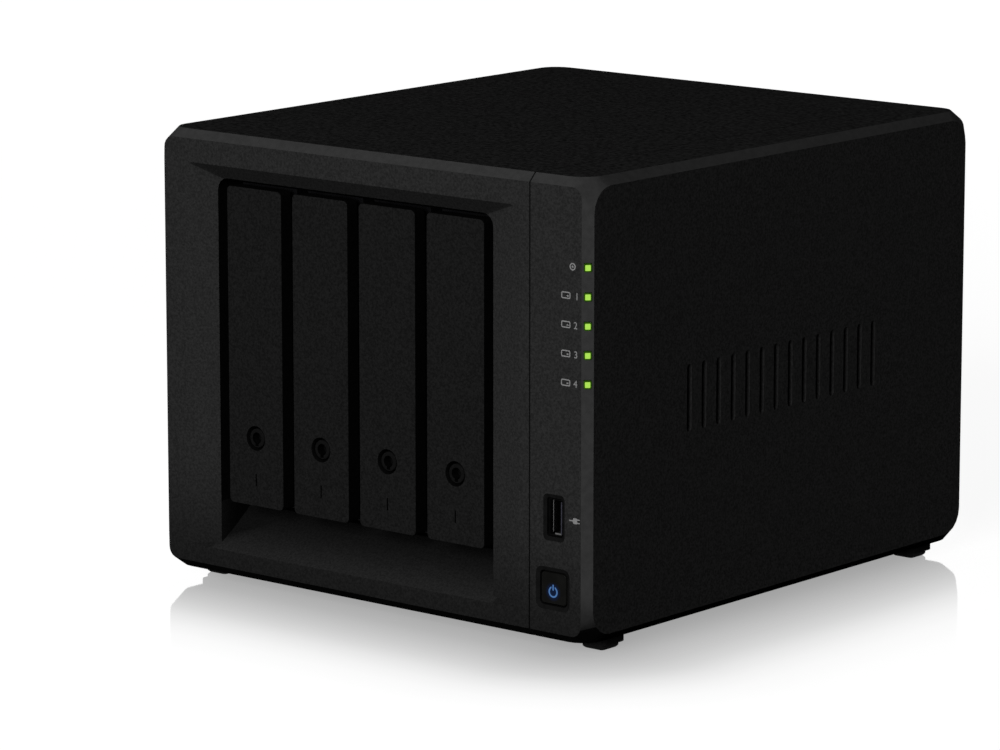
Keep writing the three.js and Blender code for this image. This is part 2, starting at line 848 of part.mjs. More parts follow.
function rightCover() {
  const edge = seamX + seamGap / 2;
  const side = block(edge, sideX + cutOverrun, frontY - cutOverrun, rearY + cutOverrun,
    -cutOverrun, caseHeight + cutOverrun);
  const ribs = [ribFrontY, ribRearY].map((y) => block(innerX - sideRibHeight, innerX + caseWall / 2,
    y, y + ribThickness, footHeight + caseWall / 2, caseHeight - caseWall / 2));
  const holes = [];
  for (let index = 0; index < lightCount; index += 1) {
    holes.push(bevelRod(lightHeightAt(index), lightWidth + 2 * lightHoleGap, lightHeight + 2 * lightHoleGap,
      cutOverrun, lightRodLength / 2));
  }
  const feet = [footFrontY, footRearY];
  return caseBody().intersect(side)
    .subtract(caseHollow(caseWall, controlBackY, lipInnerY))
    .subtract(rearOpening())
    .add(joined(ribs))
    .add(joined(feet.map((y) => footCollar(footX, y))))
    .subtract(joined(feet.map((y) => footPocket(footX, y))))
    .subtract(dish(socketX, socketZ, socketDishWidth, socketDishHeight, socketDishRadius,
      socketHoleWidth, socketHoleHeight, socketHoleRadius))
    .subtract(dish(buttonX, buttonZ, buttonDish, buttonDish, buttonDishRadius,
      buttonHole, buttonHole, buttonHoleRadius))
    .subtract(joined(holes))
    .subtract(ventSlots(innerX - cutOverrun, sideX + cutOverrun));
}

place('left_cover', leftCover(), 'shell');
place('right_cover', rightCover(), 'shell');

// Feet: rubber blocks pressed up into the collars
for (const [sideName, sign] of [['left', -1], ['right', 1]]) {
  for (const [endName, y] of [['front', footFrontY], ['rear', footRearY]]) {
    const top = footHeight - fitGap;
    const wide = roundedLoop(0, 0, footSide, footSide, footRadius, innerSteps);
    const tread = footSide - 2 * footEase;
    const body = prismZ(wide, footEase, top);
    const sole = hullOf([
      ...roundedLoop(0, 0, tread, tread, footRadius, innerSteps).map((p) => new THREE.Vector3(p.x, p.y, 0)),
      ...wide.map((p) => new THREE.Vector3(p.x, p.y, footEase)),
    ]);
    const foot = place(`foot_${endName}_${sideName}`, body.add(sole), 'rubber');
    foot.position.set(sign * footX, y, 0);
  }
}

// Status light guide: one clear moulding with five rods on a spine
function lightGuide() {
  const parts = [];
  for (let index = 0; index < lightCount; index += 1) {
    parts.push(bevelRod(lightHeightAt(index), lightWidth, lightHeight, 0, lightRodLength));
  }
  const middle = Math.SQRT1_2 * lightRodLength;
  const x = sideX - edgeBevel / 2 - middle;
  const y = frontY + edgeBevel / 2 + middle;
  const lowest = lightHeightAt(lightCount - 1) - lightHeight;
  const highest = lightTopZ + lightHeight;
  const half = lightSpine / 2;
  parts.push(block(x - half, x + half, y - half, y + half, lowest, highest));
  return joined(parts);
}

place('status_light_guide', lightGuide(), 'light');

// Front panel board with a light-emitting chip behind each rod
function frontBoard() {
  const chipX = sideX - edgeBevel / 2 - Math.SQRT1_2 * lightRodLength;
  const parts = [block(frontBoardLeft, frontBoardRight, frontBoardY, frontBoardY + boardThickness,
    floorZ + frontBoardLift, ceilingZ - frontBoardTopGap)];
  for (let index = 0; index < lightCount; index += 1) {
    const z = lightHeightAt(index);
    parts.push(block(chipX - ledSize / 2, chipX + ledSize / 2, frontBoardY - ledHeight,
      frontBoardY + boardThickness / 2, z - ledSize / 2, z + ledSize / 2));
  }
  return joined(parts);
}

place('front_panel_board', frontBoard(), 'board');

const switchY = frontBoardY - fitGap;
place('power_switch', block(buttonX - switchSide / 2, buttonX + switchSide / 2, switchY - switchHeight,
  switchY, buttonZ - switchSide / 2, buttonZ + switchSide / 2)
  .add(drumY(buttonX, buttonZ, switchStemRadius, switchY - switchHeight - switchStemLength,
    switchY - switchHeight / 2, pinSides)), 'socket');

// Power button: square cap, retaining flange behind the wall, and a stem to the switch
function powerButton() {
  const faceY = frontY + buttonSet;
  const flangeY = controlBackY + fitGap;
  const stemEnd = switchY - switchHeight - switchStemLength - fitGap - buttonTravel;
  const cap = prismY(roundedLoop(buttonX, buttonZ, buttonFace, buttonFace, buttonFaceRadius), faceY,
    flangeY + buttonFlangeThickness);
  const flange = prismY(roundedLoop(buttonX, buttonZ, buttonFlange, buttonFlange, buttonFaceRadius), flangeY,
    flangeY + buttonFlangeThickness);
  const stem = drumY(buttonX, buttonZ, buttonStemRadius, flangeY, stemEnd, pinSides);
  return cap.add(flange).add(stem);
}

place('power_button', powerButton(), 'gloss');

// USB receptacle about its own mouth: mouth at y = 0 facing -Y, long side along Z
function usbReceptacle() {
  const shell = block(-usbHeight / 2, usbHeight / 2, 0, usbLength, -usbWidth / 2, usbWidth / 2);
  const hollow = block(-usbHeight / 2 + usbShell, usbHeight / 2 - usbShell, -cutOverrun, usbLength - usbFloor,
    -usbWidth / 2 + usbShell, usbWidth / 2 - usbShell);
  const tongueX = usbHeight / 2 - usbShell - usbTongueGap;
  const tongue = block(tongueX - usbTongue, tongueX, usbTongueSet, usbLength - usbFloor / 2,
    -usbTongueWidth / 2, usbTongueWidth / 2);
  return shell.subtract(hollow).add(tongue);
}

const frontUsb = place('front_usb_socket', usbReceptacle(), 'port');
frontUsb.position.set(socketX, frontY + socketSet, socketZ);

// Tray front: a shallow tray-shaped moulding with a cross pin at the top and the lock boss
function trayHandle() {
  const height = trayTop - trayBottom;
  const outline = roundedLoop(0, trayMidZ, trayWidth, height, trayFaceRadius);
  const eased = [
    new THREE.Vector2(trayFaceY + handleEase, trayTop),
    new THREE.Vector2(trayFaceY, trayTop - handleEase),
    new THREE.Vector2(trayFaceY, trayBottom),
    new THREE.Vector2(handleBackY, trayBottom),
    new THREE.Vector2(handleBackY, hingeZ - lugRadius - fitGap),
    new THREE.Vector2(hingeY, hingeZ),
    new THREE.Vector2(hingeY, trayTop),
  ];
  const body = prismY(outline, trayFaceY, handleBackY).intersect(prismX(eased, -trayHalf, trayHalf));
  const hollow = prismY(roundedLoop(0, trayMidZ, trayWidth - 2 * handleRim, height - 2 * handleRim,
    trayFaceRadius - handleRim / 2, innerSteps), trayFaceY + handleSkin, handleBackY + cutOverrun);
  const boss = drumY(0, lockZ, lockBoreRadius + lockBossWall, trayFaceY + handleSkin / 2, handleBackY);
  const pin = drumX(hingeY, hingeZ, hingePinRadius, -trayHalf + handleRim / 2, trayHalf - handleRim / 2,
    pinSides);
  const bore = drumY(0, lockZ, lockBoreRadius, trayFaceY - cutOverrun, handleBackY + cutOverrun);
  const mouthGrow = cutOverrun / lockMouthDepth * (lockMouthRadius - lockBoreRadius);
  const mouth = turnedY([
    [0, trayFaceY - cutOverrun],
    [lockMouthRadius + mouthGrow, trayFaceY - cutOverrun],
    [lockBoreRadius, trayFaceY + lockMouthDepth],
    [0, trayFaceY + lockMouthDepth],
  ], 0, lockZ, lockSides);
  const mark = block(-markWidth / 2, markWidth / 2, trayFaceY - cutOverrun, trayFaceY + markDepth,
    lockZ - markDrop - markLength / 2, lockZ - markDrop + markLength / 2);
  return body.subtract(hollow).add(boss).add(pin).subtract(bore).subtract(mouth).subtract(mark);
}

// Lock barrel with a round keyway and a slot below it
function trayLock() {
  const faceY = trayFaceY + lockSet;
  const barrel = drumY(0, lockZ, lockRadius, faceY, faceY + lockLength);
  const keyway = drumY(0, lockZ, keyRadius, faceY - cutOverrun, faceY + keyDepth, pinSides);
  const slot = block(-keySlotWidth / 2, keySlotWidth / 2, faceY - cutOverrun, faceY + keyDepth,
    lockZ - keySlotReach, lockZ);
  return barrel.subtract(keyway.add(slot));
}

// Tray: two rails joined by a front wall and a windowed side plate
function trayBody() {
  const railFrontY = trayWallBackY - trayThinWall;
  const parts = [
    block(-trayHalf, trayHalf, railFrontY, railRearY, trayBottom, railLowTop),
    block(-trayHalf, trayHalf, railFrontY, railRearY, railHighBottom, trayTop),
    block(-trayHalf, trayHalf, trayWallY, trayWallBackY, trayBottom, trayTop - trayShoulder),
    block(-trayHalf, trayHalf, railFrontY, trayWallBackY, trayBottom, trayTop),
    block(-trayHalf, -trayHalf + trayPlate, railFrontY, railRearY, trayBottom, trayTop),
  ];
  for (const sign of [-1, 1]) {
    const x = sign * lugX;
    const arm = drumX(hingeY, hingeZ, lugRadius, x - lugWidth / 2, x + lugWidth / 2, pinSides)
      .add(block(x - lugWidth / 2, x + lugWidth / 2, hingeY, trayWallBackY, hingeZ - lugRadius,
        hingeZ + lugRadius / 2));
    parts.push(arm);
  }
  const cuts = [drumX(hingeY, hingeZ, hingeBoreRadius, -trayHalf, trayHalf, pinSides)];
  const railLength = railRearY - trayWallBackY;
  const windowLength = (railLength - plateWindowMargin * (plateWindowCount + 1)) / plateWindowCount;
  for (let index = 0; index < plateWindowCount; index += 1) {
    const y = trayWallBackY + plateWindowMargin + windowLength / 2
      + index * (windowLength + plateWindowMargin);
    const loop = roundedLoop(y, trayMidZ, windowLength, driveWidth - 2 * plateWindowMargin,
      plateWindowRadius, innerSteps);
    cuts.push(prismX(loop, -trayHalf - cutOverrun, -trayHalf + trayPlate + cutOverrun));
  }
  const frontWindowHalf = trayHalf - frontWindowMargin;
  const frontWindowTop = hingeZ - lugRadius - frontWindowDrop;
  for (const top of [frontWindowTop, frontWindowTop - frontWindowHeight - frontWindowSet]) {
    cuts.push(block(-frontWindowHalf, frontWindowHalf, trayWallY - cutOverrun, trayWallBackY + cutOverrun,
      top - frontWindowHeight, top));
  }
  const seatY0 = clipFrontY - fitGap;
  const seatY1 = clipRearY + fitGap;
  const seatHalf = clipWidth / 2 + fitGap;
  const seatDepth = clipThickness + fitGap;
  cuts.push(block(-seatHalf, seatHalf, seatY0, seatY1, trayBottom - cutOverrun, trayBottom + seatDepth));
  cuts.push(block(-seatHalf, seatHalf, seatY0, seatY1, trayTop - seatDepth, trayTop + cutOverrun));
  for (const y of clipPinPlaces()) {
    cuts.push(prismZ(roundLoop(0, y, clipPinHole, pinSides), trayBottom + seatDepth / 2,
      railLowTop + cutOverrun));
    cuts.push(prismZ(roundLoop(0, y, clipPinHole, pinSides), railHighBottom - cutOverrun,
      trayTop - seatDepth / 2));
  }
  return joined(parts).subtract(joined(cuts));
}

function clipPinPlaces() {
  return [clipFrontY + clipPinInset, clipRearY - clipPinInset];
}

// Side clip with two pins; sign is 1 for the lower one, whose pins point up
function trayClip(sign) {
  const middleY = (clipFrontY + clipRearY) / 2;
  const outer = sign > 0 ? trayBottom : trayTop;
  const inner = outer + sign * clipThickness;
  const tip = (sign > 0 ? railLowTop : railHighBottom) + sign * clipPinReach;
  const bar = prismZ(roundedLoop(0, middleY, clipWidth, clipRearY - clipFrontY, clipWidth * clipCornerShare,
    innerSteps), Math.min(outer, inner), Math.max(outer, inner));
  const half = clipWidth / 2 + cutOverrun;
  const grip = block(-half, half, middleY - clipGripWidth, middleY + clipGripWidth, outer - clipGripDepth,
    outer + clipGripDepth);
  const pins = clipPinPlaces().map((y) => prismZ(roundLoop(0, y, clipPinRadius, pinSides),
    Math.min(inner - sign * clipGripDepth, tip), Math.max(inner - sign * clipGripDepth, tip)));
  return bar.subtract(grip).add(joined(pins));
}

for (let index = 0; index < bayCount; index += 1) {
  const bay = new THREE.Group();
  bay.position.x = bayCentre(index);
  enclosure.add(bay);
  const number = index + 1;
  place(`tray_body_${number}`, trayBody(), 'tray', bay);
  place(`tray_handle_${number}`, trayHandle(), 'tray', bay);
  place(`tray_lock_${number}`, trayLock(), 'lock', bay);
  place(`clip_lower_${number}`, trayClip(1), 'clip', bay);
  place(`clip_upper_${number}`, trayClip(-1), 'clip', bay);
}

// Drive cage: folded sheet steel, open at both ends, standing on flanged sides
function driveCage() {
  const y0 = cageFrontY - cutOverrun;
  const y1 = cageRearY + cutOverrun;
  const shell = block(cageLeftX, cageRightX, cageFrontY, cageRearY, cageFootZ, cageRoofTop);
  const underside = cageFloorTop - sheet;
  const hollows = [
    block(windowLeft, windowRight, y0, y1, cageFloorTop, cageRoofBottom),
    block(windowLeft, windowRight, y0, y1, cageFootZ + sheet, underside),
    block(windowLeft + cageFlange, windowRight - cageFlange, y0, y1, cageFootZ - cutOverrun, underside),
  ];
  const windows = [];
  const bottom = cageFloorTop + cageWindowMargin;
  const top = cageRoofBottom - cageWindowMargin;
  const cageWindowWidth = cageLength / cageWindowCount - cageWindowGap;
  for (let index = 0; index < cageWindowCount; index += 1) {
    const y = cageFrontY + cageLength * (index + 1 / 2) / cageWindowCount;
    const loop = roundedLoop(y, (bottom + top) / 2, cageWindowWidth, top - bottom, cageWindowRadius,
      innerSteps);
    windows.push(prismX(loop, cageLeftX - cutOverrun, cageRightX + cutOverrun));
    const low = roundedLoop(y, (cageFootZ + cageFloorTop) / 2, cageWindowWidth, cageFootWindow,
      cageFootRadius, innerSteps);
    windows.push(prismX(low, cageLeftX - cutOverrun, cageRightX + cutOverrun));
  }
  return shell.subtract(joined(hollows)).subtract(joined(windows));
}

place('drive_cage', driveCage(), 'steel');

// Bay guide: a base sheet with a rib on each side of every tray
function bayGuide(baseZ0, baseZ1, ribZ0, ribZ1) {
  const y0 = cageFrontY + guideSetBack;
  const y1 = cageRearY - guideSetBack;
  const x0 = windowLeft + fitGap;
  const x1 = windowRight - fitGap;
  const parts = [block(x0, x1, y0, y1, baseZ0, baseZ1)];
  for (let index = 0; index <= bayCount; index += 1) {
    const left = Math.max(x0, bayCentre(index - 1) + trayHalf + trayTravelClear);
    const right = Math.min(x1, bayCentre(index) - trayHalf - trayTravelClear);
    const easeLeft = index > 0 ? guideEase : 0;
    const easeRight = index < bayCount ? guideEase : 0;
    parts.push(prismZ([
      new THREE.Vector2(left + easeLeft, y0),
      new THREE.Vector2(right - easeRight, y0),
      new THREE.Vector2(right, y0 + guideNose),
      new THREE.Vector2(right, y1),
      new THREE.Vector2(left, y1),
      new THREE.Vector2(left, y0 + guideNose),
    ], ribZ0, ribZ1));
  }
  return joined(parts);
}

place('bay_guide_lower', bayGuide(guideTopLow - guideBase, guideTopLow, guideTopLow - guideBase,
  guideTopLow + guideRib), 'guide');
place('bay_guide_upper', bayGuide(guideBottomHigh, guideBottomHigh + guideBase, guideBottomHigh - guideRib,
  guideBottomHigh + guideBase), 'guide');

// Backplane: an upright board across the back of the cage, with air openings and an edge finger
function backplane() {
  const y1 = backplaneRearY;
  const panel = block(windowLeft + backplaneMargin, windowRight - backplaneMargin, backplaneY, y1,
    cageFloorTop + backplaneMargin, cageRoofBottom - backplaneMargin);
  const finger = block(windowRight - fingerRoot, cageRightX + fingerReach, backplaneY, y1, fingerBottom,
    fingerTop);
  const ventWide = bayPitch - backplaneVentGap;
  const ventZ = cageRoofBottom - backplaneVentDrop - backplaneVentHeight / 2;
  const vents = [];
  for (let index = 0; index < bayCount; index += 1) {
    const loop = roundedLoop(bayCentre(index) + ventWide / 2, ventZ, ventWide, backplaneVentHeight,
      ventWide * backplaneVentCornerShare, innerSteps);
    vents.push(prismY(loop, backplaneY - cutOverrun, y1 + cutOverrun));
  }
  return panel.add(finger).subtract(joined(vents));
}

place('backplane_board', backplane(), 'board');

function sataConnector() {
  const x0 = driveX + sataSide;
  const z0 = railLowTop + driveSideGap + sataLift;
  const z1 = z0 + sataHeight;
  const slotX = x0 + (sataWidth - sataSlotWidth) / 2;
  return block(x0, x0 + sataWidth, sataFaceY, sataRearY, z0, z1)
    .subtract(block(slotX, slotX + sataSlotWidth, sataFaceY - cutOverrun, sataFaceY + sataSlotDepth,
      z0 + sataSlotMargin, z1 - sataSlotMargin));
}

for (let index = 0; index < bayCount; index += 1) {
  place(`sata_connector_${index + 1}`, sataConnector(), 'socket').position.x = bayCentre(index);
}

// Main board with its chips, coils and capacitors soldered on
function mainBoard() {
  const parts = [
    block(boardX, boardFaceX, mainBoardFront, mainBoardRear, mainBoardBottom, mainBoardTop),
    block(boardX, boardFaceX, mainBoardFront, portShelfRear, mainBoardBottom, portShelfTop),
    block(boardFaceX - boardThickness / 2, boardFaceX + chipHeight, sinkCentreY - chipSide / 2,
      sinkCentreY + chipSide / 2, sinkCentreZ - chipSide / 2, sinkCentreZ + chipSide / 2),
  ];
  for (let index = 0; index < inductorCount; index += 1) {
    const y = mainBoardFront + inductorPitch * (index + 1);
    const z = batteryZ + batteryRadius + inductorLift;
    parts.push(block(boardFaceX - boardThickness / 2, boardFaceX + inductorHeight, y - inductorSide / 2,
      y + inductorSide / 2, z - inductorSide / 2, z + inductorSide / 2));
  }
  for (let index = 0; index < capacitorCount; index += 1) {
    const y = mainBoardRear - capacitorPitch * (index + 1);
    const z = portShelfTop + capacitorPitch;
    parts.push(drumX(y, z, capacitorRadius, boardFaceX - boardThickness / 2, boardFaceX + capacitorHeight,
      pinSides));
  }
  return joined(parts);
}

place('main_board', mainBoard(), 'board');

function heatSink() {
  const x0 = boardFaceX + chipHeight + fitGap;
  const half = sinkSide / 2;
  const parts = [block(x0, x0 + sinkBase, sinkCentreY - half, sinkCentreY + half, sinkCentreZ - half,
    sinkCentreZ + half)];
  for (let index = 0; index < sinkFinCount; index += 1) {
    const z = sinkCentreZ - half + (sinkSide - sinkFinThickness) * index / (sinkFinCount - 1);
    parts.push(block(x0, x0 + sinkBase + sinkFinHeight, sinkCentreY - half, sinkCentreY + half, z,
      z + sinkFinThickness));
  }
  return joined(parts);
}

place('heat_sink', heatSink(), 'alloy');
place('clock_battery', drumX(batteryY, batteryZ, batteryRadius, componentX, componentX + batteryThickness),
  'cell');

// Memory card and its socket on the cage side of the main board
function memorySocket() {
  const x1 = boardX - fitGap;
  const y0 = memoryFront - memorySocketEnd;
  const y1 = memoryFront + memoryLength + memorySocketEnd;
  const bar = block(memorySocketX, x1, y0, y1, memoryBottom - memorySocketDepth / 2,
    memoryBottom + memorySocketDepth / 2);
  const slot = block(memoryX - fitGap, memoryX + memoryCard + fitGap, memoryFront - fitGap,
    memoryFront + memoryLength + fitGap, memoryBottom - fitGap, memoryBottom + memorySocketDepth);
  return bar.subtract(slot);
}

function memoryModule() {
  const parts = [block(memoryX, memoryX + memoryCard, memoryFront, memoryFront + memoryLength, memoryBottom,
    memoryBottom + memoryWidth)];
  const chipZ = memoryBottom + memoryWidth - memoryChipDrop;
  for (let index = 0; index < memoryChipCount; index += 1) {
    const y = memoryFront + memoryLength / 2 + (index - (memoryChipCount - 1) / 2) * memoryChipPitch;
    parts.push(block(memoryX - memoryChip, memoryX + memoryCard / 2, y - memoryChipLength / 2,
      y + memoryChipLength / 2, chipZ - memoryChipLength / 2, chipZ + memoryChipLength / 2));
  }
  return joined(parts);
}

place('memory_socket', memorySocket(), 'socket');
place('memory_module', memoryModule(), 'board');

// Socket on the main board that takes the backplane's edge finger
function linkSocket() {
  const x0 = cageRightX + fitGap;
  const body = block(x0, boardX - fitGap, backplaneY - linkWall, backplaneRearY + linkWall,
    fingerBottom - linkLength, fingerTop + linkLength);
  const slot = block(x0 - cutOverrun, cageRightX + fingerReach + fitGap, backplaneY - fitGap,
    backplaneRearY + fitGap, fingerBottom - fitGap, fingerTop + fitGap);
  return body.subtract(slot);
}

place('backplane_socket', linkSocket(), 'socket');

// Network jack: a shielded box with a stepped mouth towards the rear
function lanSocket(top) {
  const y0 = portRearY - lanLength;
  const middle = top - lanWidth / 2;
  const x0 = componentX;
  const mouthX = x0 + (lanHeight - lanMouthHeight) / 2;
  const mouth = block(mouthX, mouthX + lanMouthHeight, portRearY - lanMouthDepth, portRearY + cutOverrun,
    middle - lanMouthWidth / 2, middle + lanMouthWidth / 2);
  const key = block(mouthX - lanKeyHeight, mouthX + lanKeyHeight, portRearY - lanMouthDepth,
    portRearY + cutOverrun, middle - lanKeyWidth / 2, middle + lanKeyWidth / 2);
  return block(x0, x0 + lanHeight, y0, portRearY, top - lanWidth, top).subtract(mouth.add(key));
}

place('lan_socket_1', lanSocket(lanTop), 'port');
place('lan_socket_2', lanSocket(lanTop - lanPitch), 'port');

const rearUsbX = componentX + usbHeight / 2;
const rearUsbZ = rearUsbBottom + usbWidth / 2;
const rearUsb = place('rear_usb_socket', usbReceptacle(), 'port');
rearUsb.rotation.z = Math.PI;
rearUsb.position.set(rearUsbX, portRearY, rearUsbZ);

// Reset switch: its pin stands behind a small hole in the rear panel
const resetX = componentX + resetWidth / 2 + fitGap;
const resetZ = resetBottom + resetWidth / 2;
const resetPinEnd = panelFrontY - fitGap;
const resetFrontY = resetPinEnd - resetPinLength + resetTravel;

place('reset_switch', block(componentX, componentX + resetBody, resetFrontY - resetLength, resetFrontY,
  resetZ - resetWidth / 2, resetZ + resetWidth / 2)
  .subtract(drumY(resetX, resetZ, resetPinRadius + fitGap, resetFrontY - resetLength / 2,
    resetFrontY + cutOverrun, pinSides)), 'socket');
place('reset_button', drumY(resetX, resetZ, resetPinRadius,
  resetFrontY - resetLength / 2 + fitGap + resetTravel, resetPinEnd, pinSides), 'socket');

// Power inlet: a round four-pin cup with a flange in front of the panel
function powerInlet() {
  const mouthY = panelRearY + fitGap + inletFlange + inletProud;
  const cup = turnedY([
    [0, mouthY - inletLength],
    [inletRadius, mouthY - inletLength],
    [inletRadius, panelRearY + fitGap],
    [inletFlangeRadius, panelRearY + fitGap],
    [inletFlangeRadius, panelRearY + fitGap + inletFlange],
    [inletRadius, mouthY],
    [inletMouthRadius, mouthY],
    [inletMouthRadius, mouthY - inletDepth],
    [0, mouthY - inletDepth],
  ], inletX, inletZ, inletSides);
  const pins = [];
  for (let index = 0; index < inletPinCount; index += 1) {
    const angle = 2 * Math.PI * (index + 1 / 2) / inletPinCount;
    pins.push(drumY(inletX + inletPinCircle * Math.cos(angle), inletZ + inletPinCircle * Math.sin(angle),
      inletPinRadius, mouthY - inletDepth - inletPinRadius, mouthY - inletDepth + inletPinLength,
      inletPinSides));
  }
  return cup.add(joined(pins));
}

place('power_inlet', powerInlet(), 'port');

// Rear panel: painted sheet steel with two ringed fan grilles and the port openings
function grilleArc(x, inner, outer, start, sweep) {
  const points = [];
  for (let step = 0; step <= grilleArcSteps; step += 1) {
    const angle = start + sweep * step / grilleArcSteps;
    points.push(new THREE.Vector2(x + outer * Math.cos(angle), fanZ + outer * Math.sin(angle)));
  }
  for (let step = grilleArcSteps; step >= 0; step -= 1) {
    const angle = start + sweep * step / grilleArcSteps;
    points.push(new THREE.Vector2(x + inner * Math.cos(angle), fanZ + inner * Math.sin(angle)));
  }
  return prismY(points, panelFrontY - cutOverrun, panelRearY + cutOverrun);
}

function grille(x) {
  const arcs = [];
  const ringPitch = (fanBore - grilleHub - grilleEdge) / grilleRingCount;
  for (let ring = 0; ring < grilleRingCount; ring += 1) {
    const inner = grilleHub + ring * ringPitch;
    const outer = inner + ringPitch * grilleSlotShare;
    const spokeAngle = 2 * grilleSpoke / (inner + outer);
    for (let spoke = 0; spoke < grilleSpokeCount; spoke += 1) {
      const start = 2 * Math.PI * (spoke + 1 / 2) / grilleSpokeCount + spokeAngle / 2;
      arcs.push(grilleArc(x, inner, outer, start, 2 * Math.PI / grilleSpokeCount - spokeAngle));
    }
  }
  return joined(arcs);
}

function rearPanel() {
  const y0 = panelFrontY - cutOverrun;
  const y1 = panelRearY + cutOverrun;
  const holes = [
    grille(-fanX),
    grille(fanX),
    prismY(roundedLoop(securitySlotX, securitySlotZ, securitySlotWidth, securitySlotHeight,
      securitySlotRadius, innerSteps), y0, y1),
    drumY(inletX, inletZ, inletRadius + fitGap, y0, y1, inletSides),
    drumY(resetX, resetZ, resetHoleRadius, y0, y1, pinSides),
    block(componentX - portGap, componentX + usbHeight + portGap, y0, y1, rearUsbBottom - portGap,
      rearUsbBottom + usbWidth + portGap),
  ];
  for (const top of [lanTop, lanTop - lanPitch]) {
    holes.push(block(componentX - portGap, componentX + lanHeight + portGap, y0, y1,
      top - lanWidth - portGap, top + portGap));
  }
  return caseHollow(caseWall + fitGap, panelFrontY, panelRearY).subtract(joined(holes));
}

place('rear_panel', rearPanel(), 'painted');

// Fans
function fanFrame() {
  const half = fanSize / 2;
  const screwAt = half - fanScrewInset;
  const y1 = fanDepth;
  const body = prismY(roundedLoop(0, 0, fanSize, fanSize, fanRadius, innerSteps), 0, y1);
  const bore = drumY(0, 0, fanBore, -cutOverrun, y1 + cutOverrun, fanSides);
  const screws = [[1, 1], [-1, 1], [-1, -1], [1, -1]].map(([u, v]) => drumY(u * screwAt, v * screwAt,
    fanScrewRadius, -cutOverrun, y1 + cutOverrun, pinSides));
  const motor = drumY(0, 0, motorRadius, y1 - motorThickness, y1);
  const struts = [];
  for (let index = 0; index < strutCount; index += 1) {
    const arm = new THREE.BoxGeometry(half, strutThickness, strutWidth);
    arm.translate(half / 2, y1 - strutThickness / 2, 0);
    arm.rotateY(2 * Math.PI * index / strutCount);
    struts.push(solidOf(arm));
  }
  const shaftHole = drumY(0, 0, shaftBore, y1 - motorThickness - cutOverrun, y1 + cutOverrun, pinSides);
  return body.subtract(bore).subtract(joined(screws)).add(motor).add(joined(struts)).intersect(body)
    .subtract(shaftHole);
}

// One blade: thin curved sections, twisted and set at a pitch that eases towards the tip
function fanBlade(start) {
  const tip = fanBore * Math.cos(Math.PI / fanSides) - rotorTipGap;
  const root = rotorHubRadius - bladeRootSink;
  const middleY = rotorSet + rotorLength / 2;
  const outlineShares = [[-1 / 2, 0], [-1 / 4, -1], [1 / 8, -1], [1 / 2, 0], [1 / 8, 1], [-1 / 4, 1]];
  const rows = [];
  for (let station = 0; station <= bladeStations; station += 1) {
    const reach = station / bladeStations;
    const radius = root + (tip - root) * reach;
    const pitch = bladeRootPitch + (bladeTipPitch - bladeRootPitch) * reach;
    rows.push(outlineShares.map(([along, across]) => {
      const chord = along * bladeChord;
      const thick = across * bladeThickness / 2 + (1 / 4 - along * along) * bladeCamber;
      const around = chord * Math.cos(pitch) - thick * Math.sin(pitch);
      const axial = chord * Math.sin(pitch) + thick * Math.cos(pitch);
      const angle = start + around / radius;
      return [radius * Math.cos(angle), middleY + axial, radius * Math.sin(angle)];
    }));
  }
  return skinned(rows);
}

// Closed skin over rows of matching points, with fan caps at both ends
function skinned(rows) {
  const width = rows[0].length;
  const last = rows.length - 1;
  const positions = rows.flat(2);
  const index = [];
  for (let row = 0; row < last; row += 1) {
    for (let at = 0; at < width; at += 1) {
      const next = (at + 1) % width;
      const a = row * width + at;
      const b = row * width + next;
      index.push(a, a + width, b, b, a + width, b + width);
    }
  }
  for (let at = 1; at < width - 1; at += 1) {
    index.push(0, at, at + 1);
    index.push(last * width, last * width + at + 1, last * width + at);
  }
  const geometry = new THREE.BufferGeometry();
  geometry.setAttribute('position', new THREE.BufferAttribute(new Float32Array(positions), 3));
  geometry.setIndex(index);
  return solidOf(geometry);
}

function fanRotor() {
  const rear = fanDepth - motorThickness - rotorHubEase;
  const hub = turnedY([
    [0, rotorSet],
    [rotorHubRadius - rotorHubEase, rotorSet],
    [rotorHubRadius, rotorSet + rotorHubEase],
    [rotorHubRadius, rear],
    [0, rear],
  ], 0, 0, hubSides);
  const shaft = drumY(0, 0, shaftRadius, rear - shaftRadius, rear + shaftLength, pinSides);
  const blades = [];
  for (let index = 0; index < bladeCount; index += 1) {
    blades.push(fanBlade(2 * Math.PI * index / bladeCount));
  }
  return joined([hub, shaft, ...blades]);
}

for (const [number, sign] of [[1, -1], [2, 1]]) {
  const fan = new THREE.Group();
  fan.position.set(sign * fanX, fanFrontY, fanZ);
  enclosure.add(fan);
  place(`fan_frame_${number}`, fanFrame(), 'fan', fan);
  place(`fan_rotor_${number}`, fanRotor(), 'fan', fan);
}

export default enclosure;
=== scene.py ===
"""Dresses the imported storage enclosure: covers, tray fronts, locks, ports, fans and their finishes."""

import math

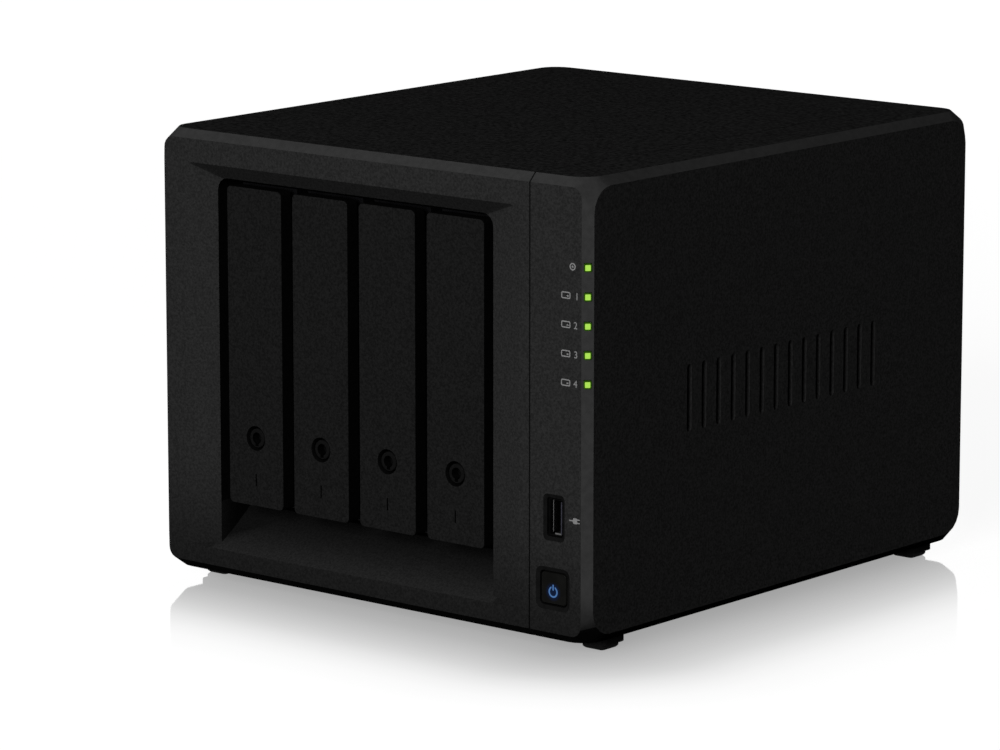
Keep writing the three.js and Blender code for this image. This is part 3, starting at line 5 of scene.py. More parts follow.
import bmesh
import bpy
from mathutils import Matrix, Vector


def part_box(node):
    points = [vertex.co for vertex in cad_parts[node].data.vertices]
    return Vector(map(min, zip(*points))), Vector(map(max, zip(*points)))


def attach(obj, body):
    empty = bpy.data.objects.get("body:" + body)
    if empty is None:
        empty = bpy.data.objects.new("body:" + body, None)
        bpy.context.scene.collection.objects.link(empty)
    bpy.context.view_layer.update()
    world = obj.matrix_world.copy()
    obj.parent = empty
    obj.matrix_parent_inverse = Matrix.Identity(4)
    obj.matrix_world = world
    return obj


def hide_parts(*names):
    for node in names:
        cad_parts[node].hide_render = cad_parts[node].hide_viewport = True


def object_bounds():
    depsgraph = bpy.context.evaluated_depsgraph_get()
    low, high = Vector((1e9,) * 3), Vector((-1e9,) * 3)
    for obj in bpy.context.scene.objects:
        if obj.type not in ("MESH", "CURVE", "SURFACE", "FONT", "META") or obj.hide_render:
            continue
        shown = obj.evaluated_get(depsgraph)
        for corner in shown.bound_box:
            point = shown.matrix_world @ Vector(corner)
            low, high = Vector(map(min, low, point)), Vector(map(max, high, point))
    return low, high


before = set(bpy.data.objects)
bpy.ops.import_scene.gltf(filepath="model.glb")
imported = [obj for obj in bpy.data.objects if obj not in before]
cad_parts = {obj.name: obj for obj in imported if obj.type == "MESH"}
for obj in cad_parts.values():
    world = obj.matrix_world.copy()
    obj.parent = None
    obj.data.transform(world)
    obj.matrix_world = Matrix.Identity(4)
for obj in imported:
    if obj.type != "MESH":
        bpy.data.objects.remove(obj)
cad_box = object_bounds()

MM = 0.001
scene = bpy.context.scene
scene.view_settings.view_transform = "Standard"

X, Y, Z = range(3)
FOUR = range(1, 5)
# The case in millimetres: how far its sides, front and back lie from its middle, and how high its top and underside
(_, FRONT, _), (SIDE, BACK, TOP) = ([round(part / MM, 1) for part in corner] for corner in cad_box)
BASE = 5.0


def reach(node, axis):
    """Where a CAD node begins and ends along an axis, in millimetres."""
    low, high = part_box(node)
    return round(low[axis] / MM, 1), round(high[axis] / MM, 1)


def middle_of(node, axis):
    """The middle of a CAD node along an axis, in millimetres."""
    return round(sum(reach(node, axis)) / 2, 1)


# ---------------------------------------------------------------- camera

# The camera that fits the photograph's straight edges
EYE_PLACE = (1.139834, -1.397505, 0.421286)
EYE_TURN = (79, 0, 40)
EYE_LENS, EYE_SENSOR = 180.28, 36


def place_camera():
    """The photograph's viewing place: level, from the front right, a little above."""
    eye = bpy.data.cameras.new("eye")
    eye.sensor_fit = "HORIZONTAL"
    eye.sensor_width = EYE_SENSOR
    eye.lens = EYE_LENS
    camera = bpy.data.objects.new("eye", eye)
    scene.collection.objects.link(camera)
    camera.location = EYE_PLACE
    camera.rotation_euler = [math.radians(turn) for turn in EYE_TURN]
    scene.camera = camera


place_camera()


# ---------------------------------------------------------------- finishes

def linear(code):
    """An sRGB hex colour as the linear colour that shaders take."""
    shares = [int(code[at:at + 2], 16) / 255 for at in (1, 3, 5)]
    return tuple(s / 12.92 if s <= 0.04045 else ((s + 0.055) / 1.055) ** 2.4 for s in shares) + (1.0,)


def add(tree, kind, feeds=None, **settings):
    """One node in a tree, with its settings, and its inputs set to values or linked to outputs."""
    made = tree.nodes.new(kind)
    for key, value in settings.items():
        setattr(made, key, value)
    open_inputs = [socket for socket in made.inputs if socket.enabled]
    for key, value in (feeds or {}).items():
        socket = made.inputs[key] if isinstance(key, int) else next(one for one in open_inputs if one.name == key)
        if isinstance(value, bpy.types.NodeSocket):
            tree.links.new(value, socket)
        else:
            socket.default_value = value
    return made


def per_metre(size):
    """The texture scale at which one feature is that many millimetres wide."""
    return 1 / (size * MM)


def blank(name):
    """A material with an empty node tree and its output."""
    finish = bpy.data.materials.new(name)
    finish.use_nodes = True
    finish.node_tree.nodes.clear()
    return finish, finish.node_tree


def show(tree, shader):
    """Makes a shader the material's surface."""
    add(tree, "ShaderNodeOutputMaterial", {"Surface": shader.outputs[0]})


def speckle(tree, size, detail=2.0, roughness=0.5):
    """Noise in the object's own place, with blotches of that many millimetres."""
    place = add(tree, "ShaderNodeTexCoord").outputs["Object"]
    return add(tree, "ShaderNodeTexNoise", {
        "Vector": place, "Scale": per_metre(size), "Detail": detail, "Roughness": roughness}).outputs["Fac"]


def between(tree, share, low, high, start=0.35, end=0.65):
    """A colour that runs between two hex colours as the share goes from start to end."""
    ramp = add(tree, "ShaderNodeValToRGB", {"Fac": share})
    ramp.color_ramp.elements[0].position = start
    ramp.color_ramp.elements[0].color = linear(low)
    ramp.color_ramp.elements[1].position = end
    ramp.color_ramp.elements[1].color = linear(high)
    return ramp.outputs["Color"]


def moulded(name, low, high, grain, depth, roughness, deep=None, *fades):
    """Black ABS from a spark-eroded mould: matt, with a fine pebbled grain that speckles in side light.

    The deep colours paint shade, and on the sides light; each fade towards them is a direction, a start and an end
    along it in millimetres.
    """
    finish, tree = blank(name)
    pebbles = speckle(tree, grain, 3.0, 0.6)
    tone = between(tree, pebbles, low, high)
    if deep:
        place = add(tree, "ShaderNodeTexCoord").outputs["Object"]
        shares = []
        for direction, start, end in fades:
            along = add(tree, "ShaderNodeVectorMath", {0: place, 1: direction}, operation="DOT_PRODUCT")
            faded = add(tree, "ShaderNodeMapRange", {
                "Value": along.outputs["Value"], "From Min": start * MM, "From Max": end * MM},
                interpolation_type="SMOOTHSTEP")
            shares.append(faded.outputs[0])
        share = shares[0]
        for other in shares[1:]:
            share = add(tree, "ShaderNodeMath", {0: share, 1: other}, operation="ADD", use_clamp=True).outputs[0]
        mixed = add(tree, "ShaderNodeMix", {
            "Factor": share, "A": tone, "B": between(tree, pebbles, *deep)}, data_type="RGBA")
        tone = next(one for one in mixed.outputs if one.enabled)
    bumps = add(tree, "ShaderNodeBump", {"Height": pebbles, "Distance": depth * MM, "Strength": 1.0})
    show(tree, add(tree, "ShaderNodeBsdfPrincipled", {
        "Base Color": tone, "Roughness": roughness, "IOR": 1.53, "Specular IOR Level": 0.0,
        "Normal": bumps.outputs["Normal"]}))
    return finish


# Real grain of this kind is under half a millimetre wide; it is drawn 0.8 mm wide so that it shows
GRAIN = 0.8
UP, INWARDS = (0, 0, 1), (0, 1, 0)
# The covers' ABS: charcoal, with pebbles that speckle the flat faces, and painted shade that darkens it towards the
# foot
grain_and_foot_shade = moulded("spark_eroded_abs_foot_shade", "#1d1d1d", "#292929", GRAIN, 0.08, 0.55, ("#131313", "#1b1b1b"), (UP, 52, 0))
# The same ABS where the tool was polished: the bevels between the faces, almost free of grain, with a painted
# highlight that makes them paler and painted shade that darkens them near the foot
cover_bevel = moulded("polished_abs_painted_highlight_and_shade", "#303030", "#353535", 2.4, 0.01, 0.45, ("#080808", "#0a0a0a"), (UP, 26, 3))
# The same ABS with painted shade that darkens it, on the recess faces that lean down
cover_shaded = moulded("leaning_face_painted_shade", "#151515", "#1d1d1d", GRAIN, 0.08, 0.6)
# The finger scoop: painted shade that darkens it inwards from the lip, and more towards its left end
scoop_abs = moulded("scoop_abs", "#1f1f1f", "#2a2a2a", GRAIN, 0.06, 0.6, ("#0d0d0d", "#131313"),
                    (INWARDS, -115, -94), ((-0.6, 0.8, 0), -45, -35))
# The scoop's ends below the outer trays: the same, with darker painted shade
scoop_end_abs = moulded("scoop_end_abs", "#161616", "#1e1e1e", GRAIN, 0.06, 0.6, ("#080808", "#0d0d0d"),
                        (INWARDS, -112, -99))
# The sides: the same with a stronger grain, painted light that makes them a little paler towards the back, and no
# painted shade towards the foot
side_abs = moulded("side_abs", "#1e1e1e", "#2e2e2e", GRAIN, 0.08, 0.55, ("#202020", "#313131"), (INWARDS, -110, 110))
# The top, where the grain is coarsest: drawn 1.6 mm wide, because the eye sees it at a low angle
top_abs = moulded("top_abs", "#161616", "#2c2c2c", 1.6, 0.08, 0.55)
# The dishes round the socket and the button: the grain almost smooth, and painted shade that makes them dark rings
dish_abs = moulded("dark_dish_painted_shade", "#0f0f0f", "#131313", 2.0, 0.01, 0.5)
# Walls in the narrow gaps and other faces in deep shade: ABS rough off the mould and never polished, with painted
# shade that makes them almost black
painted_shade_abs = moulded("rough_wall_painted_shade", "#060606", "#0b0b0b", GRAIN, 0.04, 0.7)
# The tray fronts: a darker batch of the same ABS with the same grain
tray_grain = moulded("tray_front_abs", "#111111", "#1b1b1b", GRAIN, 0.08, 0.5)


def glossy_abs(x, z):
    """High gloss ABS from a polished tool: near black, smooth, with the lamp's deep blue round the mark at x, z."""
    finish, tree = blank("high_gloss_abs")
    peel = add(tree, "ShaderNodeBump", {"Height": speckle(tree, 3.0), "Distance": 0.01 * MM})
    place = add(tree, "ShaderNodeTexCoord").outputs["Object"]
    flat = add(tree, "ShaderNodeVectorMath", {0: place, 1: (1, 0, 1)}, operation="MULTIPLY").outputs[0]
    away = add(tree, "ShaderNodeVectorMath", {0: flat, 1: (x * MM, 0, z * MM)}, operation="DISTANCE").outputs["Value"]
    share = add(tree, "ShaderNodeMapRange", {
        "Value": away, "From Min": 1.6 * MM, "From Max": 3.6 * MM}, interpolation_type="SMOOTHSTEP").outputs[0]
    show(tree, add(tree, "ShaderNodeBsdfPrincipled", {
        "Base Color": between(tree, speckle(tree, 5.0), "#0c0c0b", "#10100f"), "Roughness": 0.15,
        "IOR": 1.53, "Specular IOR Level": 0.01, "Normal": peel.outputs["Normal"],
        "Emission Color": between(tree, share, "#001030", "#000000", 0.0, 1.0), "Emission Strength": 1.0}))
    return finish


def lacquered_zinc():
    """Die-cast zinc under black satin lacquer: dark, with soft highlights on its eased rim."""
    finish, tree = blank("black_lacquered_zinc")
    marks = add(tree, "ShaderNodeBump", {"Height": speckle(tree, 0.3, 4.0), "Distance": 0.01 * MM})
    show(tree, add(tree, "ShaderNodeBsdfPrincipled", {
        "Base Color": between(tree, speckle(tree, 0.8), "#0c0c0c", "#101010"), "Roughness": 0.35,
        "IOR": 1.5, "Specular IOR Level": 0.005, "Normal": marks.outputs["Normal"]}))
    return finish


def lit_lens(name, colour, other, body):
    """Clear acrylic end of a light guide, lit from behind: an even glow, a little cloudy at half a millimetre."""
    finish, tree = blank(name)
    show(tree, add(tree, "ShaderNodeBsdfPrincipled", {
        "Base Color": linear(body), "Roughness": 0.3, "IOR": 1.49, "Specular IOR Level": 0.0,
        "Emission Color": between(tree, speckle(tree, 0.5), colour, other), "Emission Strength": 1.0}))
    return finish


def clear_acrylic():
    """Clear acrylic light guide, unlit along its length: see-through, with a faint green cast."""
    finish, tree = blank("clear_acrylic")
    waves = add(tree, "ShaderNodeBump", {"Height": speckle(tree, 4.0), "Distance": 0.01 * MM})
    show(tree, add(tree, "ShaderNodeBsdfPrincipled", {
        "Base Color": between(tree, speckle(tree, 6.0), "#dfeedd", "#eef6ec"), "Roughness": 0.08, "IOR": 1.49,
        "Transmission Weight": 0.9, "Normal": waves.outputs["Normal"]}))
    return finish


def screen_ink(name, low, high):
    """Screen-printed ink: pale, matt, with the slightly uneven cover of a single pass."""
    finish, tree = blank(name)
    show(tree, add(tree, "ShaderNodeBsdfPrincipled", {
        "Base Color": between(tree, speckle(tree, 0.2, 3.0), low, high), "Roughness": 0.7,
        "IOR": 1.5, "Specular IOR Level": 0.05}))
    return finish


def metal(name, low, high, blotch, roughness, marks, depth):
    """Bare or plated metal: its colour in the reflection, with blotches and marks of given sizes."""
    finish, tree = blank(name)
    bumps = add(tree, "ShaderNodeBump", {"Height": speckle(tree, marks, 4.0), "Distance": depth * MM})
    show(tree, add(tree, "ShaderNodeBsdfPrincipled", {
        "Base Color": between(tree, speckle(tree, blotch, 3.0), low, high), "Metallic": 1.0,
        "Roughness": roughness, "Normal": bumps.outputs["Normal"]}))
    return finish


def plain_plastic(name, low, high, roughness, gloss, grain=0.8, depth=0.01):
    """Moulded engineering plastic: satin, with a faint flow pattern and light grain."""
    finish, tree = blank(name)
    bumps = add(tree, "ShaderNodeBump", {"Height": speckle(tree, grain, 3.0), "Distance": depth * MM})
    show(tree, add(tree, "ShaderNodeBsdfPrincipled", {
        "Base Color": between(tree, speckle(tree, grain * 6, 2.0), low, high), "Roughness": roughness,
        "IOR": 1.5, "Specular IOR Level": gloss, "Normal": bumps.outputs["Normal"]}))
    return finish


def solder_mask():
    """Printed circuit board: dark green lacquer over copper, whose tracks show as a lighter net."""
    finish, tree = blank("solder_mask_on_copper")
    place = add(tree, "ShaderNodeTexCoord").outputs["Object"]
    tracks = add(tree, "ShaderNodeTexVoronoi", {"Vector": place, "Scale": per_metre(4.0)},
                 feature="DISTANCE_TO_EDGE", distance="MANHATTAN").outputs["Distance"]
    show(tree, add(tree, "ShaderNodeBsdfPrincipled", {
        "Base Color": between(tree, tracks, "#1d5b3c", "#0f3d29", 0.04, 0.08), "Roughness": 0.35,
        "IOR": 1.5, "Specular IOR Level": 0.3}))
    return finish


def powder_coat():
    """Black polyester powder on sheet steel: even, satin, with a soft orange peel half a millimetre wide."""
    finish, tree = blank("black_powder_coat")
    peel = add(tree, "ShaderNodeBump", {"Height": speckle(tree, 0.6, 2.0), "Distance": 0.03 * MM})
    show(tree, add(tree, "ShaderNodeBsdfPrincipled", {
        "Base Color": between(tree, speckle(tree, 0.6, 2.0), "#161617", "#1f1f20"), "Roughness": 0.5,
        "IOR": 1.5, "Specular IOR Level": 0.08, "Normal": peel.outputs["Normal"]}))
    return finish


# The place of the standby mark on the button's cap
MARK = (84.0, 22.3)

button_gloss = glossy_abs(*MARK)
lock_zinc = lacquered_zinc()
# Lit plastics: a deep blue sign, fresh green lights, and the darker green that they leave in their edges
standby_blue = lit_lens("standby_blue_inlay", "#42679b", "#4b72a6", "#101820")
status_green = lit_lens("status_green_lens", "#a4da4e", "#aee05c", "#20300c")
status_rim = lit_lens("status_lens_edge", "#1c3c00", "#264a04", "#101a06")
guide_acrylic = clear_acrylic()
label_ink = screen_ink("pale_grey_ink", "#6e6e6e", "#7c7c7c")
# Sockets: dull grey springs and a darker edge in front, bright plated shells behind, yellow gold in their contacts
shell_steel = metal("socket_spring_steel", "#4a4a4a", "#5c5c5c", 1.5, 0.35, 0.5, 0.01)
shell_edge = metal("dark_nickel_edge", "#26262c", "#303038", 1.5, 0.4, 0.5, 0.01)
port_nickel = metal("bright_nickel_shell", "#9a9a98", "#b0b0ae", 2.0, 0.3, 0.5, 0.01)
gold = metal("gold_plated_contact", "#c9a24a", "#dcb968", 1.0, 0.25, 0.3, 0.005)
# Inside the case: satin grey fins and a bright coin cell; outside, dark screws that only glint on their edges
sink_alloy = metal("anodised_heat_sink", "#77797c", "#8b8d90", 3.0, 0.45, 0.3, 0.02)
cell_steel = metal("stainless_cell", "#b5b5b2", "#c6c6c3", 4.0, 0.28, 0.4, 0.01)
screw_steel = metal("black_zinc_screw", "#2a2a2c", "#37373a", 1.0, 0.35, 0.2, 0.01)
# Plastics in the openings: almost black in the sockets, a touch paler and more satin in the fans, guides and clips
port_plastic = plain_plastic("black_lcp_insert", "#080808", "#0d0d0d", 0.5, 0.0)
fan_plastic = plain_plastic("black_pbt_fan", "#0f0f10", "#161617", 0.45, 0.06)
guide_plastic = plain_plastic("black_pom_guide", "#121213", "#171718", 0.45, 0.05)
clip_plastic = plain_plastic("clip_pom", "#1b1b1c", "#222223", 0.4, 0.1)
rotor_plastic = plain_plastic("grey_pbt_rotor", "#1d1d1e", "#252526", 0.4, 0.08)
# The network lamps' windows: unlit amber with a soft shine
lamp_window = plain_plastic("amber_lamp_window", "#5a4420", "#6a5128", 0.2, 0.3)
# The trays' dull black insides, and rubber feet that take no light at all
tray_body_abs = plain_plastic("black_abs_tray", "#0b0b0c", "#101011", 0.5, 0.02)
foot_rubber = plain_plastic("moulded_rubber", "#0f0f0f", "#161616", 0.85, 0.05, 0.5, 0.03)
board_lacquer = solder_mask()
panel_coat = powder_coat()


# ---------------------------------------------------------------- studio

def white_to_the_eye(tree):
    """1 for rays that see the background, straight, mirrored or through glass, and 0 for light."""
    path = add(tree, "ShaderNodeLightPath")
    seen = add(tree, "ShaderNodeMath", {
        0: path.outputs["Is Camera Ray"], 1: path.outputs["Is Glossy Ray"]}, operation="MAXIMUM")
    return add(tree, "ShaderNodeMath", {
        0: seen.outputs[0], 1: path.outputs["Is Transmission Ray"]}, operation="MAXIMUM").outputs[0]


def light_world():
    """White surroundings to look at, and a low even light from them."""
    world = bpy.data.worlds.new("studio")
    scene.world = world
    world.use_nodes = True
    tree = world.node_tree
    tree.nodes.clear()
    dim = add(tree, "ShaderNodeBackground", {"Color": linear("#ffffff"), "Strength": 0.05})
    white = add(tree, "ShaderNodeBackground", {"Color": linear("#ffffff"), "Strength": 1.0})
    both = add(tree, "ShaderNodeMixShader", {
        "Fac": white_to_the_eye(tree), 1: dim.outputs[0], 2: white.outputs[0]})
    add(tree, "ShaderNodeOutputWorld", {"Surface": both.outputs[0]})


# How strongly the floor mirrors, by its distance in millimetres from a rectangle that lies this far inside the case
MIRROR_INSET = 25
MIRROR_REACH = 120
MIRROR_SHARES = [(0, 0.63), (12, 0.59), (25, 0.535), (33, 0.48), (43, 0.41), (53, 0.325),
                 (64, 0.2), (75, 0.105), (85, 0.05), (101, 0.012), (120, 0)]

FLOOR_WIDTH, FLOOR_DROP = 16, 0.0002


def lay_floor():
    """White table with a polished patch that mirrors the enclosure's foot and fades away from it."""
    bpy.ops.object.select_all(action="DESELECT")
    bpy.ops.mesh.primitive_plane_add(size=FLOOR_WIDTH, location=(0, 0, -FLOOR_DROP))
    floor = bpy.context.active_object
    floor.name = "floor"
    finish, tree = blank("white_table")
    place = add(tree, "ShaderNodeTexCoord").outputs["Object"]
    folded = add(tree, "ShaderNodeVectorMath", {0: place}, operation="ABSOLUTE").outputs[0]
    corner = ((SIDE - MIRROR_INSET) * MM, (BACK - MIRROR_INSET) * MM, 1)
    past = add(tree, "ShaderNodeVectorMath", {0: folded, 1: corner}, operation="SUBTRACT")
    clear = add(tree, "ShaderNodeVectorMath", {0: past.outputs[0], 1: (0, 0, 0)}, operation="MAXIMUM")
    away = add(tree, "ShaderNodeVectorMath", {0: clear.outputs[0]}, operation="LENGTH").outputs["Value"]
    share = add(tree, "ShaderNodeMapRange", {"Value": away, "From Max": MIRROR_REACH * MM}).outputs[0]
    ramp = add(tree, "ShaderNodeValToRGB", {"Fac": share})
    stops = ramp.color_ramp.elements
    while len(stops) < len(MIRROR_SHARES):
        stops.new(0.5)
    for stop, (distance, mirror) in zip(list(stops), MIRROR_SHARES):
        stop.position = distance / MIRROR_REACH
        stop.color = (mirror, mirror, mirror, 1)
    matt = add(tree, "ShaderNodeBsdfDiffuse", {"Color": linear("#8a8a8a")})
    quiet = add(tree, "ShaderNodeBsdfDiffuse", {"Color": linear("#505050")})
    glow = add(tree, "ShaderNodeEmission", {"Color": linear("#ffffff"), "Strength": 0.9})
    lit = add(tree, "ShaderNodeAddShader", {0: matt.outputs[0], 1: glow.outputs[0]})
    mirror = add(tree, "ShaderNodeBsdfGlossy", {"Color": linear("#ffffff"), "Roughness": 0.05})
    polished = add(tree, "ShaderNodeMixShader", {
        "Fac": ramp.outputs["Color"], 1: lit.outputs[0], 2: mirror.outputs[0]})
    show(tree, add(tree, "ShaderNodeMixShader", {
        "Fac": white_to_the_eye(tree), 1: quiet.outputs[0], 2: polished.outputs[0]}))
    floor.data.materials.append(finish)


# Each soft box's place and size in metres, and its power in watts
LAMPS = {
    "front_box": ((0.516, -2.236, 0.78), (1.5, 1.2), 62),
    "left_box": ((-2.4, 0.3, 0.3), (1.6, 1.0), 20),
    "rear_box": ((-0.2, 2.4, 0.3), (1.8, 1.0), 30),
}
MIDDLE = Vector((0, 0, 0.08))


def hang_lamp(name, place, size, power):
    """A soft box that faces the middle of the enclosure."""
    box = bpy.data.lights.new(name, "AREA")
    box.shape = "RECTANGLE"
    box.size, box.size_y = size
    box.energy = power
    lamp = bpy.data.objects.new(name, box)
    scene.collection.objects.link(lamp)
    lamp.location = place
    aim = MIDDLE - Vector(place)
    lamp.rotation_euler = aim.to_track_quat("-Z", "Y").to_euler()
    lamp.visible_camera = False


light_world()
lay_floor()
for name, (place, size, power) in LAMPS.items():
    hang_lamp(name, place, size, power)


# ---------------------------------------------------------------- bench tools

def rest():
    """Leaves edit mode and lets go of everything."""
    if bpy.context.mode != "OBJECT":
        bpy.ops.object.mode_set(mode="OBJECT")
    bpy.ops.object.select_all(action="DESELECT")


def take(piece):
    """Selects one piece alone."""
    rest()
    piece.select_set(True)
    bpy.context.view_layer.objects.active = piece


def set_down(piece, name):
    """Fixes a new primitive's place and size in its mesh."""
    piece.name = name
    piece.data.name = name
    bpy.ops.object.transform_apply(location=True, rotation=True, scale=True)
    return piece


def block(name, low, high, turn=(0, 0, 0)):
    """A box between two corners in millimetres, to be shaped further."""
    rest()
    middle = [(a + b) / 2 * MM for a, b in zip(low, high)]
    bpy.ops.mesh.primitive_cube_add(size=1, location=middle, rotation=turn)
    piece = bpy.context.active_object
    piece.scale = [(b - a) * MM for a, b in zip(low, high)]
    return set_down(piece, name)


def bar(name, start, end, radius, sides=32, far_radius=None):
    """A round bar or cone between two points in millimetres, to be shaped further."""
    rest()
    a, b = Vector(start) * MM, Vector(end) * MM
    lie = (b - a).to_track_quat("Z", "Y").to_euler()
    bpy.ops.mesh.primitive_cone_add(
        vertices=sides, radius1=radius * MM, radius2=(radius if far_radius is None else far_radius) * MM,
        depth=(b - a).length, location=(a + b) / 2, rotation=lie)
    return set_down(bpy.context.active_object, name)


def pick(piece, kind, wanted):
    """Goes into edit mode with only the wanted faces, edges or points selected."""
    take(piece)
    bpy.ops.object.mode_set(mode="EDIT")
    bpy.ops.mesh.select_mode(type=kind)
    bpy.ops.mesh.select_all(action="DESELECT")
    shape = bmesh.from_edit_mesh(piece.data)
    for part in {"VERT": shape.verts, "EDGE": shape.edges, "FACE": shape.faces}[kind]:
        if wanted(part):
            part.select_set(True)
    shape.select_flush_mode()
    bmesh.update_edit_mesh(piece.data)


def faces_to(direction, least=0.99, where=None):
    """Wants the faces that look in a direction, and whose middle is in a place."""
    aim = Vector(direction).normalized()
    return lambda face: face.normal.dot(aim) > least and (where is None or where(face.calc_center_median() / MM))


def edges_along(direction, where=None):
    """Wants the edges that run along a direction, and whose middle is in a place."""
    aim = Vector(direction).normalized()

    def wanted(edge):
        a, b = (point.co for point in edge.verts)
        run = (b - a).normalized()
        return abs(run.dot(aim)) > 0.99 and (where is None or where((a + b) / 2 / MM))
    return wanted


def within(value, span):
    """Whether a measure lies between two others."""
    return span[0] < value < span[1]


def rim_at(axis, level):
    """Wants the edges that lie in a plane, such as the border of a face."""
    return lambda edge: all(abs(point.co[axis] / MM - level) < 0.01 for point in edge.verts)


def round_edges(piece, wanted, width, segments=3):
    """Bevels the wanted edges round, that many millimetres wide."""
    pick(piece, "EDGE", wanted)
    bpy.ops.mesh.bevel(offset=width * MM, segments=segments, affect="EDGES", profile=0.5)
    rest()


def cut(piece, cutter, how="DIFFERENCE"):
    """Cuts, joins or trims a piece with another, which is then gone."""
    take(piece)
    change = piece.modifiers.new("cut", "BOOLEAN")
    change.operation = how
    change.solver = "EXACT"
    change.object = cutter
    bpy.ops.object.modifier_apply(modifier=change.name)
    bpy.data.objects.remove(cutter, do_unlink=True)
    return piece


def soften(piece, width, segments=2, angle=40):
    """A small rounding on all sharp edges."""
    take(piece)
    change = piece.modifiers.new("soften", "BEVEL")
    change.width = width * MM
    change.segments = segments
    change.limit_method = "ANGLE"
    change.angle_limit = math.radians(angle)
    change.harden_normals = False
    bpy.ops.object.modifier_apply(modifier=change.name)


def shade(piece, angle=30, flowing=None, crisp=None):
    """Smooth shading across gentle edges and the flowing ones, with flat faces and crisp edges kept."""
    take(piece)
    bpy.ops.object.shade_smooth_by_angle(angle=math.radians(angle))
    for wanted, clear in ((flowing, True), (crisp, False)):
        if wanted:
            pick(piece, "EDGE", wanted)
            bpy.ops.mesh.mark_sharp(clear=clear)
            take(piece)
    change = piece.modifiers.new("even", "WEIGHTED_NORMAL")
    change.keep_sharp = True
    bpy.ops.object.modifier_apply(modifier=change.name)


def copy_at(piece, name, shift):
    """A copy with its own mesh, moved by millimetres."""
    twin = bpy.data.objects.new(name, piece.data.copy())
    twin.data.name = name
    scene.collection.objects.link(twin)
    take(twin)
    bpy.ops.object.mode_set(mode="EDIT")
    bpy.ops.mesh.reveal()
    bpy.ops.mesh.select_all(action="SELECT")
    bpy.ops.transform.translate(value=[step * MM for step in shift])
    rest()
    return twin


def whole(node):
    """A copy of a CAD node's mesh with its loose triangles joined into faces."""
    piece = bpy.data.objects.new(node + "_piece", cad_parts[node].data.copy())
    piece.data.name = piece.name
    piece.data.materials.clear()
    scene.collection.objects.link(piece)
    pick(piece, "FACE", lambda face: True)
    bpy.ops.mesh.remove_doubles(threshold=0.05 * MM)
    bpy.ops.mesh.select_all(action="SELECT")
    bpy.ops.mesh.dissolve_limited(angle_limit=math.radians(0.4))
    rest()
    return piece


def deliver(piece, body, slot, finish, *nodes):
    """Gives a finished piece its material, the body it rides on and the nodes it stands for."""
    piece.data.materials.clear()
    for layer in finish if isinstance(finish, (list, tuple)) else [finish]:
        piece.data.materials.append(layer)
    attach(piece, body)
    if nodes:
        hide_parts(*nodes)


def paint(piece, finish, wanted):
    """Gives the wanted faces another of the piece's finishes."""
    index = piece.data.materials.find(finish.name)
    for face in piece.data.polygons:
        if wanted(face.center / MM, face.normal):
            face.material_index = index


# ---------------------------------------------------------------- covers

# How deep the bevels and the rounded corners reach under the case's flat faces
BEVEL, CORNER = 3.2, 9
# How far the bevels along the case's length cut into its top, sides and underside
BEVEL_LEG = 3.0
# The heights of the dishes round the button and the front socket
DISHES = ((15.5, 31.5), (39.5, 58))
# The recess with its window and scoop: its reach across, upwards and inwards from the front
RECESS_X, RECESS_Z, RECESS_END = (-87.3, 69.4), (13, 154.8), -91.5
# The scoop's lip, the height at which the bay's walls begin above it, and where its ends turn up at the outer trays
LIP_Z, WALL_Z = 14.4, 31.5
SCOOP_ENDS = (-75.3, 57.4)


def on_bevel(middle, normal):
    """Whether a cover face lies on the bevels round the enclosure's outer edges."""
    half, centre = (TOP - BASE) / 2, (TOP + BASE) / 2
    depths = [SIDE - abs(middle.x), BACK - abs(middle.y), half - abs(middle.z - centre)]
    outward = normal.dot(Vector((middle.x / SIDE, middle.y / BACK, (middle.z - centre) / half))) > 0
    edge = sum(depth < BEVEL for depth in depths) >= 2
    corner = all(depth < CORNER for depth in depths) and min(depths) < BEVEL
    return (edge or corner) and outward and max(abs(part) for part in normal) < 0.99


def in_dish(middle, normal):
    """Whether a cover face lies in the dark dishes round the front socket and the button."""
    beside = within(middle.y, (FRONT + 0.05, -107)) and within(middle.x, (76.5, 92))
    return beside and any(within(middle.z, span) for span in DISHES)


def in_recess(middle):
    """Whether a place lies in the sloped recess, its window or the scoop."""
    return FRONT + 0.01 < middle.y < RECESS_END and within(middle.x, RECESS_X) and within(middle.z, RECESS_Z)


def in_scoop(middle):
    """Whether a place lies in the finger scoop below the trays."""
    return in_recess(middle) and middle.z < WALL_Z - 0.5 and middle.y < RECESS_END - 1.1


def flows(edge):
    """Wants the edges where one bevel runs over into another round a corner."""
    if len(edge.link_faces) != 2 or edge.calc_face_angle(4) > math.radians(62):
        return False
    return all(on_bevel(face.calc_center_median() / MM, face.normal) for face in edge.link_faces)


def lip_edge(edge):
    """Wants the edge over which the front runs into the finger scoop."""
    a, b = (point.co / MM for point in edge.verts)
    on_lip = all(abs(end.y - FRONT) < 0.02 and abs(end.z - LIP_Z) < 0.05 for end in (a, b))
    return on_lip and abs(a.x - b.x) > 5


def recess_outline(edge):
    """Wants the edges where the front turns into the sloped recess."""
    ends = [point.co / MM for point in edge.verts]
    return all(abs(end.y - FRONT) < 0.02 and -87.2 < end.x < 69.3 and 15 < end.z < 154.7 for end in ends)


def trim_ribs(cover, side):
    """Takes off the ribs' corners, which stand 0.3 mm out of the long bevels at the top and at the base."""
    clear = 0.01
    for up, edge in ((1, TOP - BEVEL_LEG + 2 * clear), (-1, BASE + BEVEL_LEG - 2 * clear)):
        pick(cover, "FACE", lambda face: face.calc_center_median().z > (BASE + 0.3) * MM)
        bpy.ops.mesh.bisect(plane_co=(side * (SIDE + clear) * MM, 0, edge * MM), plane_no=(side, 0, up),
                            use_fill=True, clear_outer=True, threshold=1e-6)
    rest()


